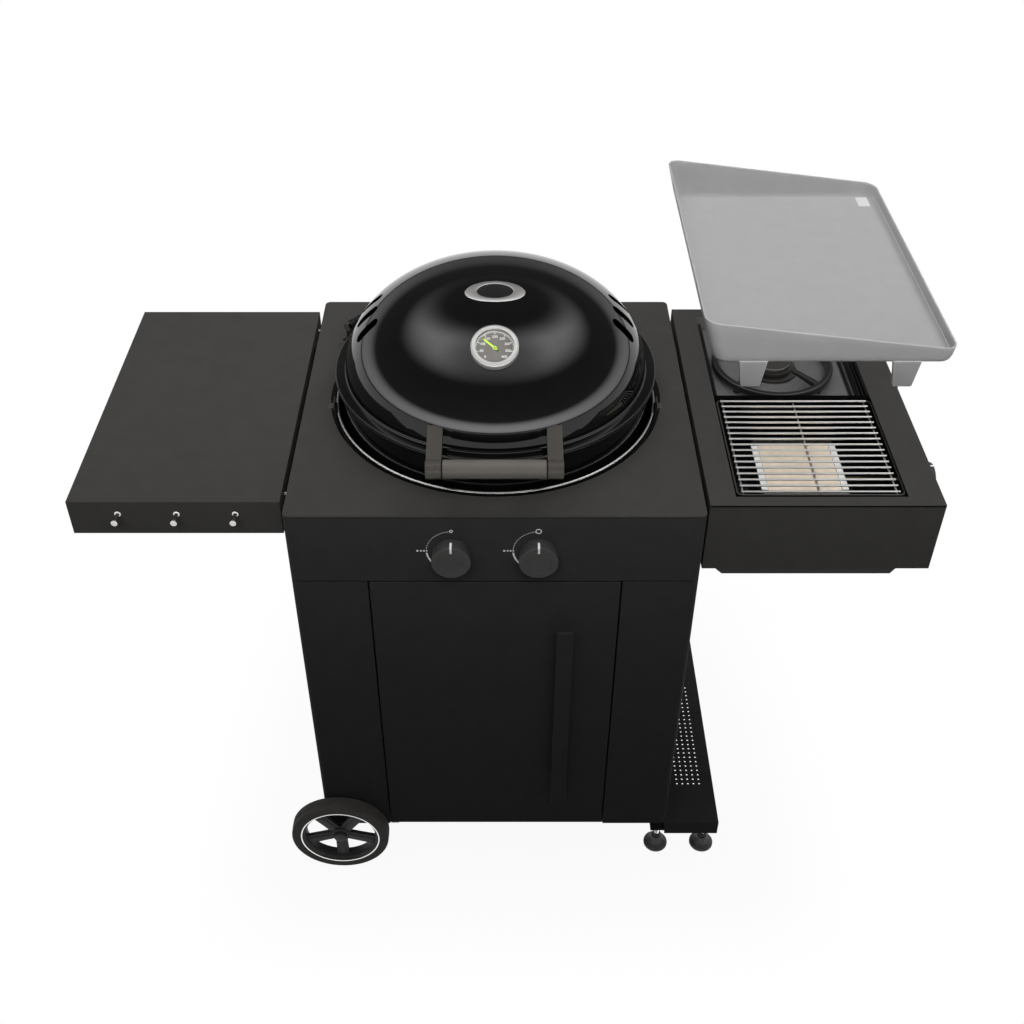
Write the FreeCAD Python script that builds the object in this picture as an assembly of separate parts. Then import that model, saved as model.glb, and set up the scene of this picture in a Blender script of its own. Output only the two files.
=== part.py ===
import FreeCAD, Part
import math
import os

# A kettle gas grill built into a wheeled cabinet, with a fold-down shelf on the left and a burner
# module with an infrared grill and a pot burner on the right. Sizes are millimetres. While it is
# built, x runs right from the cabinet's centre line, y runs back from the cabinet's front face and
# z runs up from the floor. At the end everything moves so that the whole part stands centred on
# the origin.

V = FreeCAD.Vector

# Cabinet and its sheet metal
CABINET_W = 690.0
CABINET_D = 672.0
WORK_HEIGHT = 925.0
SHEET = 1.5
PLATE_LIP = 3.0
PLATE_CORNER = 10.0
EDGE_ROUND = 1.0
PANEL_GAP = 2.0
FASCIA_H = 137.5
FLANGE = 18.0
CORNER_RETURN = 14.0
FRAME_BAR_W = 10.0
FRAME_BAR_H = 20.0
VENT_SLOT_L = 70.0
VENT_SLOT_W = 6.0
VENT_SLOT_PITCH = 18.0
VENT_SLOT_ROWS = 6
VENT_BLOCK_X = 130.0
VENT_BLOCK_Z = 240.0

# Door on the left hinge, with its flat handle
DOOR_W = 426.0
DOOR_GAP = 3.0
DOOR_DEPTH = 18.0
DOOR_PIN_R = 3.0
DOOR_PIN_L = 24.0
DOOR_PIN_IN = 7.0
DOOR_PIN_BACK = 6.0
DOOR_BRACKET_W = 16.0
DOOR_BRACKET_T = 3.0
DOOR_BRACKET_DROP = 26.0
HANDLE_IN = 92.5
HANDLE_W = 29.0
HANDLE_T = 6.0
HANDLE_STAND = 35.0
HANDLE_UP = 108.0
HANDLE_DOWN = 89.5
HANDLE_ROUND = 3.0
HANDLE_POST_R = 6.0
HANDLE_POST_IN = 70.0

# Base tray with its perforated strip
TRAY_LIP = 36.0
TRAY_RECESS = 28.0
TRAY_REACH = 108.0
PANEL_OVERHANG = 1.5
PERF_HOLE_R = 1.9
PERF_PITCH = 11.6
PERF_COLUMNS = 5
PERF_ROWS = 24
PERF_FIRST_X = 33.3
PERF_FIRST_Y = 98.5

# Levelling feet
FOOT_R = 24.5
FOOT_H = 22.0
FOOT_SKIRT_H = 5.5
FOOT_NECK_H = 5.5
FOOT_NECK_R = 10.0
FOOT_STEM_R = 5.0
FOOT_STEM_OVER = 8.0
FOOT_NUT_R = 9.0
FOOT_NUT_H = 8.0
FOOT_Y = 28.0
FOOT_INNER_IN = 11.0
FOOT_OUTER_IN = 23.0
FOOT_PLATE_W = 34.0
FOOT_PLATE_D = 42.0
FOOT_PLATE_T = 4.0

# Wheels on one axle
WHEEL_R = 98.0
WHEEL_IN = 29.5
TYRE_W = 29.0
TYRE_ROUND = 4.5
TYRE_H = 20.0
RIM_T = 9.0
HUB_W = 22.0
BOSS_R = 19.0
SPOKES = 5
SPOKE_W = 24.0
SPOKE_T = 9.0
AXLE_R = 6.0
AXLE_DOWN = 8.5
WHEEL_GAP = 2.0

# Kettle: trim ring, bowl and what stands in it
PLATE_FRONT = 50.0
PLATE_BACK = 23.0
PLATE_SIDE = 45.5
RING_LAP = 10.5
RING_SHOWN = 12.3
RING_T = 2.0
BEAD_R = 2.6
BOWL_GAP = 10.2
BOWL_WALL = 1.5
BOWL_RIM_UP = 63.7
BOWL_RIM_W = 6.0
BOWL_RIM_T = 2.0
BOWL_STRAIGHT_DOWN = 20.0
BOWL_DEPTH = 170.0
BOWL_HOLE_R = 55.0
BRACKET_W = 30.0
BRACKET_T = 6.0
BRACKET_DROP = 32.0
BRACKET_COUNT = 4
TAB_W = 20.0
TAB_COUNT = 3
GRATE_SEAT_UP = 33.0
FUNNEL_SEAT_UP = 4.0
TAB_LOW_REACH = 28.0
TAB_HIGH_REACH = 16.0
TAB_FLOOR = 7.0
FUNNEL_GAP = 20.0
FUNNEL_RIM_W = 11.0
FUNNEL_MOUTH_R = 70.0
FUNNEL_DEPTH = 54.0
GRATE_GAP = 11.0
GRATE_RING_R = 4.0
GRATE_BAR_R = 3.0
GRATE_PITCH = 20.0
CUP_R = 75.0
CUP_WALL = 1.5
CUP_DOWN = 235.0

# Kettle burners, valves and gas pipe
BURNER_TUBE_R = 9.0
FEED_TUBE_R = 8.0
OUTER_BURNER_R = 150.0
INNER_BURNER_OUT = 8.3
BURNER_GAP_DEG = 24.0
BURNER_BAR_W = 24.0
BURNER_BAR_T = 4.0
FEED_HOLE_CLEAR = 1.0
VALVE_W = 28.0
VALVE_UP = 16.0
VALVE_DOWN = 18.0
VALVE_L = 43.5
NOZZLE_R = 4.0
NOZZLE_L = 12.0
MANIFOLD_R = 9.0
MANIFOLD_SPARE = 38.3
MANIFOLD_BACK = 26.0
INLET_R = 6.5
INLET_L = 22.0
INLET_COLLAR_R = 11.0
INLET_COLLAR_T = 6.0
INLET_IN = 45.0
INLET_HOLE_R = 16.0

# Knobs, the same four times
KNOB_X = 71.7
KNOB_DOWN = 74.5
KNOB_R = 32.5
KNOB_L = 27.0
KNOB_GAP = 5.0
KNOB_DISH_R = 23.0
KNOB_DISH = 1.5
KNOB_EDGE = 2.0
KNOB_CAP = 8.0
POINTER_W = 2.0
POINTER_L = 14.0
STEM_R = 4.0
STEM_IN_VALVE = 18.0
STEM_SPARE = 5.0
STEM_HOLE_R = 7.0
SLIDE_FIT = 0.05
END_GAP = 0.3

# Lid with its hinge, handle and thermometer
LID_IN = 9.5
LID_H = 171.5
LID_WALL = 1.5
CROWN_R = 4.0
BRIM_FIT = 0.4
BRIM_UP = 66.0
BRIM_T = 2.0
BRIM_LIP = 6.0
HINGE_DEG = 142.0
HINGE_OUT = 38.0
HINGE_UP = 40.0
HINGE_PIN_R = 5.0
HINGE_HEAD_R = 9.0
HINGE_HEAD_T = 6.0
EAR_GAP = 72.0
EAR_T = 6.0
EAR_R = 8.5
HINGE_BASE_T = 3.0
HINGE_BASE_IN = 15.4
HINGE_BASE_OUT = 20.0
STRAP_W = 56.0
STRAP_T = 4.0
STRAP_BEND_OUT = 1.5
STRAP_NECK = 7.0
STRAP_FOOT_GAP = 4.5
BARREL_R = 9.0
BARREL_SIDE_GAP = 0.5
BAR_R = 15.5
BAR_HALF_L = 82.5
BAR_OUT = 44.1
BAR_UP = 81.0
ARM_W = 25.5
ARM_T = 13.0
ARM_ROOT_IN = 53.0
ARM_ROOT_UP = 102.0
WASHER_R = 12.0
WASHER_T = 1.9
LID_VENT_L = 55.0
LID_VENT_W = 22.0
LID_VENT_TILT = 32.5
LID_VENT_STEP = 11.5
LID_VENT_BACK = 1.5
LID_VENTS_A_SIDE = 3
LID_VENT_CUT = 60.0
THERMO_TILT = 52.2
THERMO_R = 39.5
THERMO_BEZEL = 5.5
THERMO_UP = 8.0
THERMO_DOWN = 6.0
THERMO_FLOOR = 3.0
DIAL_T = 1.0
GLASS_T = 2.0
GLASS_DOWN = 0.5
SEAT_FIT = 0.1
NEEDLE_L = 27.0
NEEDLE_TAIL = 9.0
NEEDLE_W = 2.4
NEEDLE_T = 0.8
NEEDLE_HUB_R = 4.0
NEEDLE_POST_R = 1.5
NEEDLE_DEG = 138.0
PROBE_R = 3.0
PROBE_L = 30.0

# Fold-down shelf with its tool hooks
SHELF_L = 351.0
SHELF_FRONT_Y = 36.5
SHELF_D = 596.5
SHELF_H = 67.5
SHELF_GAP = 8.0
SHELF_AXIS_IN = 7.0
SHELF_AXIS_DOWN = 7.5
SHELF_PIN_R = 3.0
SHELF_EYE_R = 6.0
SHELF_EAR_T = 4.0
SHELF_LUG_T = 12.0
SHELF_LUG_H = 30.0
SHELF_LUG_GAP = 0.5
SHELF_HINGE_IN = 43.5
SHELF_BASE_T = 2.0
SHELF_STOP_R = 4.0
SHELF_STOP_DOWN = 18.0
HOOK_FIRST_X = 82.0
HOOK_PITCH = 97.0
HOOK_DOWN = 24.0
HOOK_R = 3.0
HOOK_L = 27.0
HOOK_HEAD_R = 5.6
HOOK_HEAD_T = 4.0
HOOK_COUNT = 3

# Burner module on the right
MODULE_GAP = 7.0
MODULE_W = 387.0
MODULE_FRONT_Y = 28.0
MODULE_D = 615.0
MODULE_H = 140.0
OPENING_LEFT = 45.0
OPENING_RIGHT = 51.0
OPENING_FRONT = 22.0
OPENING_BACK = 26.0
DIVIDER_IN = 305.0
DIVIDER_W = 6.0
MODULE_FLOOR_RIM = 33.0
MODULE_FLOOR_RIM_RIGHT = 66.0
MODULE_SPACER_W = 60.0
MODULE_SPACER_H = 90.0
MODULE_SPACER_IN = 90.0
BAY_DEPTH = 100.0
LEDGE_W = 8.0
LEDGE_T = 2.0
GRID_TOP_DOWN = 4.0
GRID_BAR_R = 3.0
GRID_BARS = 17
GRID_ROD_R = 3.0
GRID_ROD_SINK = 0.5
GRID_SIDE_GAP = 11.0
GRID_RIGHT_GAP = 15.0
GRID_END_GAP = 14.0
GRID_BACK_GAP = 9.0
ROD_END_GAP = 1.0
ROD_SIDE = 4.0
IR_LEFT = 68.0
IR_W = 147.0
IR_FRONT = 79.0
IR_D = 159.0
IR_H = 36.5
TILE_LEFT_W = 84.5
TILE_RIGHT_W = 42.0
TILE_GAP = 1.5
TILE_D = 132.0
TILE_T = 5.0
TILE_PROUD = 2.0
HOB_DEPTH = 30.0
HOB_X = 175.0
HOB_Y = 442.0
HOB_BURNER_R = 38.0
HOB_BURNER_FLANGE_R = 48.0
HOB_BURNER_FLANGE_T = 4.0
HOB_BURNER_UP = 14.0
HOB_BURNER_DOWN = 54.0
HOB_CAP_R = 34.0
HOB_CAP_T = 8.0
HOB_CAP_ROUND = 2.6
HOB_HOLE_CLEAR = 0.3
POT_RING_R = 114.0
POT_RING_W = 13.0
POT_RING_H = 13.0
POT_RING_UP = 7.0
POT_ARMS = 4
POT_ARM_W = 10.0
POT_ARM_IN_R = 46.0
POT_ARM_H = 16.0
POT_ARM_TIP_H = 7.0
SIDE_KNOB_FRONT_IN = 164.0
SIDE_KNOB_DOWN = 79.0
SIDE_TUBE_R = 7.0

# Drip tray of the module, on its two rails
DRIP_LEFT = 19.0
DRIP_RIGHT = 49.0
DRIP_SLANT_LEFT = 18.0
DRIP_SLANT_RIGHT = 12.0
DRIP_H = 17.5
DRIP_WALL = 1.2
DRIP_FRONT = 8.0
DRIP_BACK = 33.0
DRIP_FLANGE = 10.0
DRIP_FLANGE_T = 1.7
RAIL_T = 2.5
RAIL_FOOT = 8.5
RAIL_H = 6.0
RAIL_SIDE_GAP = 1.5

# Loose cover tray, drawn in the raised place where the photograph shows it
COVER_LEFT_H = 76.0
COVER_RIGHT_H = 26.4
COVER_WALL = 3.0
COVER_CORNER = 24.0
COVER_LEFT_FLARE = 19.0
COVER_RIGHT_FLARE = 3.0
COVER_END_FLARE = 2.0
COVER_SEAT_IN = 12.0
COVER_SEAT_BACK = 13.0
COVER_FOOT_H = 45.0
COVER_FOOT_TOP_W = 46.0
COVER_FOOT_LOW_W = 31.0
COVER_FOOT_T = 9.5
COVER_FOOT_LEFT = 65.0
COVER_FOOT_RIGHT = 75.0
COVER_SEAT_GAP = 0.3
COVER_LIFT_X = -4.5
COVER_LIFT_Y = 95.4
COVER_LIFT_Z = 159.7

# Places that follow from the sizes
HALF_W = CABINET_W / 2
PLATE_UNDER = WORK_HEIGHT - SHEET
FASCIA_TOP = WORK_HEIGHT - PLATE_LIP - PANEL_GAP
FASCIA_BOTTOM = FASCIA_TOP - FASCIA_H
TRAY_TOP = WHEEL_R + AXLE_DOWN
FRONT_BOTTOM = TRAY_TOP - PANEL_OVERHANG
DOOR_TOP = FASCIA_BOTTOM - DOOR_GAP
DOOR_BOTTOM = FRONT_BOTTOM + DOOR_GAP
DOOR_LEFT = -DOOR_W / 2
DOOR_AXIS = V(DOOR_LEFT + DOOR_PIN_IN, DOOR_PIN_BACK, 0)
HANDLE_X = DOOR_W / 2 - HANDLE_IN
HANDLE_LOW = DOOR_BOTTOM + HANDLE_UP
HANDLE_HIGH = DOOR_TOP - HANDLE_DOWN
TRAY_BOTTOM = TRAY_TOP - TRAY_LIP
TRAY_RIGHT = HALF_W + TRAY_REACH
FOOT_INNER_X = HALF_W - FOOT_INNER_IN
FOOT_OUTER_X = TRAY_RIGHT - FOOT_OUTER_IN
WHEEL_X = WHEEL_IN - HALF_W
RIM_R = WHEEL_R - TYRE_H
KNOB_Z = WORK_HEIGHT - KNOB_DOWN
INNER_BURNER_R = KNOB_X + INNER_BURNER_OUT
MANIFOLD_RIGHT = KNOB_X + MANIFOLD_SPARE
MANIFOLD_LEFT = INLET_IN - HALF_W
MANIFOLD_Y = SHEET + MANIFOLD_BACK
MANIFOLD_Z = KNOB_Z - VALVE_DOWN - MANIFOLD_R
CUTOUT_R = min(HALF_W - PLATE_SIDE, (CABINET_D - PLATE_FRONT - PLATE_BACK) / 2)
KETTLE_Y = (CABINET_D + PLATE_FRONT - PLATE_BACK) / 2
RING_OUTER_R = CUTOUT_R + RING_LAP
BEAD_RING_R = CUTOUT_R - RING_SHOWN
BOWL_R = BEAD_RING_R - BOWL_GAP
FUNNEL_R = BOWL_R - FUNNEL_GAP
GRATE_R = BOWL_R - GRATE_GAP
CUP_FLOOR_Z = WORK_HEIGHT - CUP_DOWN
LID_R = BOWL_R - LID_IN
BRIM_R = BOWL_R + BOWL_RIM_W + BRIM_FIT + BRIM_T
HINGE_R = BRIM_R + HINGE_OUT
STRAP_FIRST_R = LID_R + STRAP_FOOT_GAP
BAR_Y = KETTLE_Y - BRIM_R - BAR_OUT
ARM_ROOT_Y = KETTLE_Y - LID_R + ARM_ROOT_IN
BOWL_RIM_Z = WORK_HEIGHT + BOWL_RIM_UP
BOWL_TURN_Z = WORK_HEIGHT - BOWL_STRAIGHT_DOWN
BRIM_Z = WORK_HEIGHT + BRIM_UP
HINGE_Z = WORK_HEIGHT + HINGE_UP
SHELF_RIGHT = -HALF_W - SHELF_GAP
SHELF_LEFT = SHELF_RIGHT - SHELF_L
SHELF_BOTTOM = WORK_HEIGHT - SHELF_H
SHELF_AXIS_X = SHELF_RIGHT - SHELF_AXIS_IN
SHELF_AXIS_Z = SHELF_BOTTOM - SHELF_AXIS_DOWN
MODULE_LEFT = HALF_W + MODULE_GAP
MODULE_RIGHT = MODULE_LEFT + MODULE_W
MODULE_BACK_Y = MODULE_FRONT_Y + MODULE_D
MODULE_BOTTOM = WORK_HEIGHT - MODULE_H
BAY_LEFT = MODULE_LEFT + OPENING_LEFT
BAY_RIGHT = MODULE_RIGHT - OPENING_RIGHT
BAY_FRONT = MODULE_FRONT_Y + OPENING_FRONT
BAY_BACK = MODULE_FRONT_Y + DIVIDER_IN
HOB_FRONT = BAY_BACK + DIVIDER_W
HOB_BACK = MODULE_BACK_Y - OPENING_BACK
BAY_FLOOR = WORK_HEIGHT - BAY_DEPTH
HOB_FLOOR = WORK_HEIGHT - HOB_DEPTH
HOB_AXIS = V(MODULE_LEFT + HOB_X, MODULE_FRONT_Y + HOB_Y, 0)
SIDE_KNOB_Z = WORK_HEIGHT - SIDE_KNOB_DOWN
SIDE_KNOB_FRONT_Y = MODULE_FRONT_Y + SIDE_KNOB_FRONT_IN
SIDE_KNOB_BACK_Y = HOB_AXIS.y
DRIP_W = MODULE_W - DRIP_LEFT - DRIP_RIGHT
DRIP_FLOOR_W = DRIP_W - DRIP_SLANT_LEFT - DRIP_SLANT_RIGHT
DRIP_D = MODULE_D - DRIP_FRONT - DRIP_BACK
COVER_W = MODULE_W
COVER_D = MODULE_D - COVER_SEAT_IN - COVER_SEAT_BACK
KNOB_FACE = KNOB_GAP + KNOB_L
COVER_X = MODULE_LEFT + COVER_LIFT_X
COVER_Y = MODULE_FRONT_Y + COVER_SEAT_IN + COVER_LIFT_Y
COVER_Z = WORK_HEIGHT + COVER_FOOT_H + COVER_SEAT_GAP + COVER_LIFT_Z

# The whole part's reach, which sets where the origin lies
LEFT_REACH = SHELF_LEFT
RIGHT_REACH = MODULE_RIGHT + KNOB_FACE
FRONT_REACH = -HANDLE_STAND
BACK_REACH = COVER_Y + COVER_D + COVER_END_FLARE
TO_ORIGIN = V(-(LEFT_REACH + RIGHT_REACH) / 2, -(FRONT_REACH + BACK_REACH) / 2, 0)


def box(x0, x1, y0, y1, z0, z1):
    """A box between two corners."""
    return Part.makeBox(x1 - x0, y1 - y0, z1 - z0, V(x0, y0, z0))


def rod(start, along, radius, length):
    """A round bar from a start point."""
    return Part.makeCylinder(radius, length, start, along)


def prism(points, along):
    """A straight-sided outline pushed along a vector."""
    return Part.Face(Part.makePolygon(points + points[:1])).extrude(along)


def turned(edges, axis=V(0, 0, 1)):
    """Profile edges in the XZ plane, turned about an axis through the origin."""
    wire = Part.Wire(Part.__sortEdges__(edges))
    solid = Part.Face(wire).revolve(V(0, 0, 0), axis, 360)
    if solid.Volume < 0:
        solid.reverse()
    return solid


def lines(points):
    """Straight profile edges through (radius, height) pairs."""
    path = [V(r, 0, z) for r, z in points]
    return [Part.makeLine(a, b) for a, b in zip(path, path[1:])]


def turned_lines(points, axis=V(0, 0, 1)):
    """A closed straight-sided profile, turned about an axis."""
    return turned(lines(points + points[:1]), axis)


def quarter_ellipse(radius, height, base, end_radius=0.0):
    """A quarter ellipse from its widest point at the base height, up or down to an end radius."""
    ellipse = Part.Ellipse(V(radius, 0, base), V(0, 0, base + height), V(0, 0, base))
    last = math.acos(end_radius / radius)
    return Part.ArcOfEllipse(ellipse, 0, last).toBSpline().toShape()


def ellipse_height(radius, height, at_radius):
    """How far a quarter ellipse has risen at a radius."""
    return height * math.sqrt(1 - (at_radius / radius) ** 2)


def upright(edge):
    """Whether an edge is a straight upright one."""
    a, b = edge.Vertexes[0].Point, edge.Vertexes[-1].Point
    return abs(a.x - b.x) < 1e-6 and abs(a.y - b.y) < 1e-6


def on_top(edge):
    """Whether an edge lies in the worktop's upper face."""
    return all(abs(v.Z - WORK_HEIGHT) < 1e-6 for v in edge.Vertexes)


def rounded(shape, radius, choose):
    """The shape with the chosen edges rounded."""
    return shape.makeFillet(radius, [edge for edge in shape.Edges if choose(edge)])


def placed(shape, base, axis=V(0, 0, 1), degrees=0.0):
    """A copy of the shape, turned about the origin and then moved."""
    copy = shape.copy()
    copy.Placement = FreeCAD.Placement(base, FreeCAD.Rotation(axis, degrees)).multiply(copy.Placement)
    return copy


def around(shape, count, centre, first=0.0):
    """Copies of a shape turned evenly about an upright axis."""
    return [placed(shape, centre, V(0, 0, 1), first + 360.0 * i / count) for i in range(count)]


def obround(length, width, depth):
    """A slot cutter along X, centred on the origin, through depth along Z."""
    half = (length - width) / 2
    slot = box(-half, half, -width / 2, width / 2, -depth / 2, depth / 2)
    ends = [rod(V(side * half, 0, -depth / 2), V(0, 0, 1), width / 2, depth) for side in (-1, 1)]
    return slot.multiFuse(ends).removeSplitter()


KETTLE = V(0, KETTLE_Y, 0)


def bowl_body(radius, depth):
    """The filled kettle bowl up to its rim, used to trim what touches the bowl."""
    edges = lines([(0, BOWL_TURN_Z - depth), (0, BOWL_RIM_Z), (radius, BOWL_RIM_Z), (radius, BOWL_TURN_Z)])
    return placed(turned(edges + [quarter_ellipse(radius, -depth, BOWL_TURN_Z)]), KETTLE)


BOWL_OUTSIDE = bowl_body(BOWL_R, BOWL_DEPTH)
BOWL_INSIDE = bowl_body(BOWL_R - BOWL_WALL, BOWL_DEPTH - BOWL_WALL)


def dome_body():
    """The filled dome of the lid, down to its brim."""
    edges = lines([(LID_R, BRIM_Z), (0, BRIM_Z), (0, BRIM_Z + LID_H)])
    return placed(turned(edges + [quarter_ellipse(LID_R, LID_H, BRIM_Z)]), KETTLE)


# Cabinet panels


def base_tray():
    """Folded floor tray with down-turned lips, a perforated strip and a plate for each pair of feet."""
    t = SHEET
    shape = box(-HALF_W, TRAY_RIGHT, TRAY_RECESS, CABINET_D, TRAY_BOTTOM, TRAY_TOP)
    shape = shape.fuse(box(HALF_W, TRAY_RIGHT, 0, TRAY_RECESS, TRAY_BOTTOM, TRAY_TOP))
    hollow = box(-HALF_W + t, TRAY_RIGHT - t, TRAY_RECESS + t, CABINET_D - t, TRAY_BOTTOM, TRAY_TOP - t)
    hollow = hollow.fuse(box(HALF_W + t, TRAY_RIGHT - t, t, TRAY_RECESS + t, TRAY_BOTTOM, TRAY_TOP - t))
    shape = shape.cut(hollow).removeSplitter()
    holes = []
    for column in range(PERF_COLUMNS):
        for row in range(PERF_ROWS):
            x = HALF_W + PERF_FIRST_X + column * PERF_PITCH
            y = PERF_FIRST_Y + row * PERF_PITCH
            holes.append(rod(V(x, y, TRAY_TOP - 2 * t), V(0, 0, 1), PERF_HOLE_R, 3 * t))
    holes.append(rod(V(WHEEL_X, 0, WHEEL_R), V(0, 1, 0), AXLE_R + SLIDE_FIT, CABINET_D))
    shape = shape.cut(Part.makeCompound(holes))
    half_w, half_d = FOOT_PLATE_W / 2, FOOT_PLATE_D / 2
    low, high = TRAY_BOTTOM, TRAY_BOTTOM + FOOT_PLATE_T
    plates = [box(FOOT_INNER_X - half_w, TRAY_RIGHT, y - half_d, y + half_d, low, high)
              for y in (FOOT_Y, CABINET_D - FOOT_Y)]
    stems = [rod(V(x, y, low), V(0, 0, 1), FOOT_STEM_R + SLIDE_FIT, FOOT_PLATE_T + FOOT_STEM_OVER)
             for x, y in foot_places()]
    return shape.multiFuse(plates).removeSplitter().cut(Part.makeCompound(stems))


def foot_places():
    """Where the four levelling feet stand."""
    return [(x, y) for x in (FOOT_INNER_X, FOOT_OUTER_X) for y in (FOOT_Y, CABINET_D - FOOT_Y)]


def levelling_foot():
    """Bell-shaped foot with a threaded stem and its lock nut."""
    nut_z = TRAY_BOTTOM - FOOT_NUT_H
    bell = turned_lines([(0, 0), (FOOT_R, 0), (FOOT_R, FOOT_SKIRT_H), (FOOT_NECK_R, FOOT_H - FOOT_NECK_H),
                         (FOOT_NECK_R, FOOT_H), (0, FOOT_H)])
    stem_top = TRAY_BOTTOM + FOOT_PLATE_T + FOOT_STEM_OVER
    stem = rod(V(0, 0, FOOT_H), V(0, 0, 1), FOOT_STEM_R, stem_top - FOOT_H)
    nut = placed(hexagon(FOOT_NUT_R, FOOT_NUT_H), V(0, 0, nut_z), V(1, 0, 0), 90)
    return bell.multiFuse([stem, nut]).removeSplitter()


def side_panel(side):
    """Flat side wall standing on the base tray; the left one has a hole for the gas hose."""
    outer, inner = side * HALF_W, side * (HALF_W - SHEET)
    wall = box(min(outer, inner), max(outer, inner), CORNER_RETURN, CABINET_D - SHEET, TRAY_TOP, FASCIA_TOP)
    return wall.cut(rod(V(MANIFOLD_LEFT, MANIFOLD_Y, MANIFOLD_Z), V(-1, 0, 0), INLET_HOLE_R, INLET_IN))


def back_panel():
    """Rear wall with two blocks of air slots."""
    shape = box(-HALF_W, HALF_W, CABINET_D - SHEET, CABINET_D, TRAY_TOP, FASCIA_TOP)
    slot = placed(obround(VENT_SLOT_L, VENT_SLOT_W, 4 * SHEET), V(0, 0, 0), V(1, 0, 0), 90)
    cuts = []
    for x in (-VENT_BLOCK_X, VENT_BLOCK_X):
        for row in range(VENT_SLOT_ROWS):
            cuts.append(placed(slot, V(x, CABINET_D - SHEET / 2, VENT_BLOCK_Z + row * VENT_SLOT_PITCH)))
    return shape.cut(Part.makeCompound(cuts))


def front_sheet(x0, x1, low, high):
    """Sheet of the front face; an end at the cabinet's side turns round the corner."""
    inside_w = HALF_W - SHEET
    solid = box(x0, x1, 0, CORNER_RETURN, low, high)
    solid = rounded(solid, PLATE_CORNER, lambda e: upright(e) and e.Vertexes[0].Y < 1e-6
                    and abs(abs(e.Vertexes[0].X) - HALF_W) < 1e-6)
    hollow = box(max(x0, -inside_w), min(x1, inside_w), SHEET, CORNER_RETURN, low, high)
    hollow = rounded(hollow, PLATE_CORNER - SHEET, lambda e: upright(e) and e.Vertexes[0].Y < SHEET + 1e-6
                     and abs(abs(e.Vertexes[0].X) - inside_w) < 1e-6)
    return solid.cut(hollow)


def front_panel(side):
    """Fixed front strip beside the door, with a flange turned in along the door."""
    outer = side * HALF_W
    inner = side * (DOOR_W / 2 + DOOR_GAP)
    turn = inner + side * SHEET
    face = front_sheet(min(outer, inner), max(outer, inner), FRONT_BOTTOM, FASCIA_BOTTOM - PANEL_GAP)
    flange = box(min(inner, turn), max(inner, turn), SHEET, FLANGE, FRONT_BOTTOM, FASCIA_BOTTOM - PANEL_GAP)
    shape = face.fuse(flange).removeSplitter()
    return rounded(shape, EDGE_ROUND, lambda e: upright(e) and abs(e.Vertexes[0].Y) < 1e-6
                   and abs(e.Vertexes[0].X - inner) < 1e-6)


def control_panel():
    """Fascia above the door, with its lower flange and the two stem holes."""
    flange_x = HALF_W - PLATE_CORNER
    flange = box(-flange_x, flange_x, SHEET, FLANGE, FASCIA_BOTTOM, FASCIA_BOTTOM + SHEET)
    shape = front_sheet(-HALF_W, HALF_W, FASCIA_BOTTOM, FASCIA_TOP).fuse(flange).removeSplitter()
    holes = [rod(V(side * KNOB_X, 0, KNOB_Z), V(0, 1, 0), STEM_HOLE_R, SHEET) for side in (-1, 1)]
    return shape.cut(Part.makeCompound(holes))


def top_frame():
    """Square frame inside the top of the cabinet, which carries the top plate."""
    inset = SHEET + SEAT_FIT
    x, front, back = HALF_W - inset, inset, CABINET_D - inset
    shape = box(-x, x, front, back, PLATE_UNDER - FRAME_BAR_H, PLATE_UNDER)
    shape = rounded(shape, PLATE_CORNER - SHEET, upright)
    inner_x, b = x - FRAME_BAR_W, FRAME_BAR_W
    return shape.cut(box(-inner_x, inner_x, front + b, back - b, PLATE_UNDER - FRAME_BAR_H, PLATE_UNDER))


def top_plate():
    """Folded worktop with the round cut-out for the kettle."""
    low = WORK_HEIGHT - PLATE_LIP
    shape = rounded(box(-HALF_W, HALF_W, 0, CABINET_D, low, WORK_HEIGHT), PLATE_CORNER, upright)
    shape = rounded(shape, EDGE_ROUND, on_top)
    inside = box(-HALF_W + SHEET, HALF_W - SHEET, SHEET, CABINET_D - SHEET, low, PLATE_UNDER)
    inside = rounded(inside, PLATE_CORNER - SHEET, upright)
    cutout = rod(V(0, KETTLE_Y, low), V(0, 0, 1), CUTOUT_R, PLATE_LIP)
    return shape.cut(inside).cut(cutout)


def door_panel():
    """Door pan with turned edges and a hole for each hinge pin."""
    shape = box(DOOR_LEFT, -DOOR_LEFT, 0, DOOR_DEPTH, DOOR_BOTTOM, DOOR_TOP)
    t = SHEET
    shape = shape.cut(box(DOOR_LEFT + t, -DOOR_LEFT - t, t, DOOR_DEPTH, DOOR_BOTTOM + t, DOOR_TOP - t))
    front = [e for e in shape.Edges if all(abs(v.Y) < 1e-6 for v in e.Vertexes)]
    shape = shape.makeFillet(EDGE_ROUND, front)
    hole = rod(DOOR_AXIS + V(0, 0, DOOR_BOTTOM), V(0, 0, 1), DOOR_PIN_R + SLIDE_FIT, DOOR_TOP - DOOR_BOTTOM)
    return shape.cut(hole)


def door_hinge_pins():
    """Lower pin on its bracket from the tray's lip, and the upper pin under the fascia."""
    top = DOOR_BOTTOM - END_GAP
    half = DOOR_BRACKET_W / 2
    x = DOOR_AXIS.x
    low = top - DOOR_BRACKET_T
    shelf = box(x - half, x + half, 0, TRAY_RECESS, low, top)
    leg = box(x - half, x + half, TRAY_RECESS - DOOR_BRACKET_T, TRAY_RECESS, low - DOOR_BRACKET_DROP, low)
    lower = rod(DOOR_AXIS + V(0, 0, top), V(0, 0, 1), DOOR_PIN_R, DOOR_PIN_L)
    upper = rod(DOOR_AXIS + V(0, 0, FASCIA_BOTTOM - DOOR_PIN_L), V(0, 0, 1), DOOR_PIN_R, DOOR_PIN_L)
    return Part.makeCompound([shelf.multiFuse([leg, lower]).removeSplitter(), upper])


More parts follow.
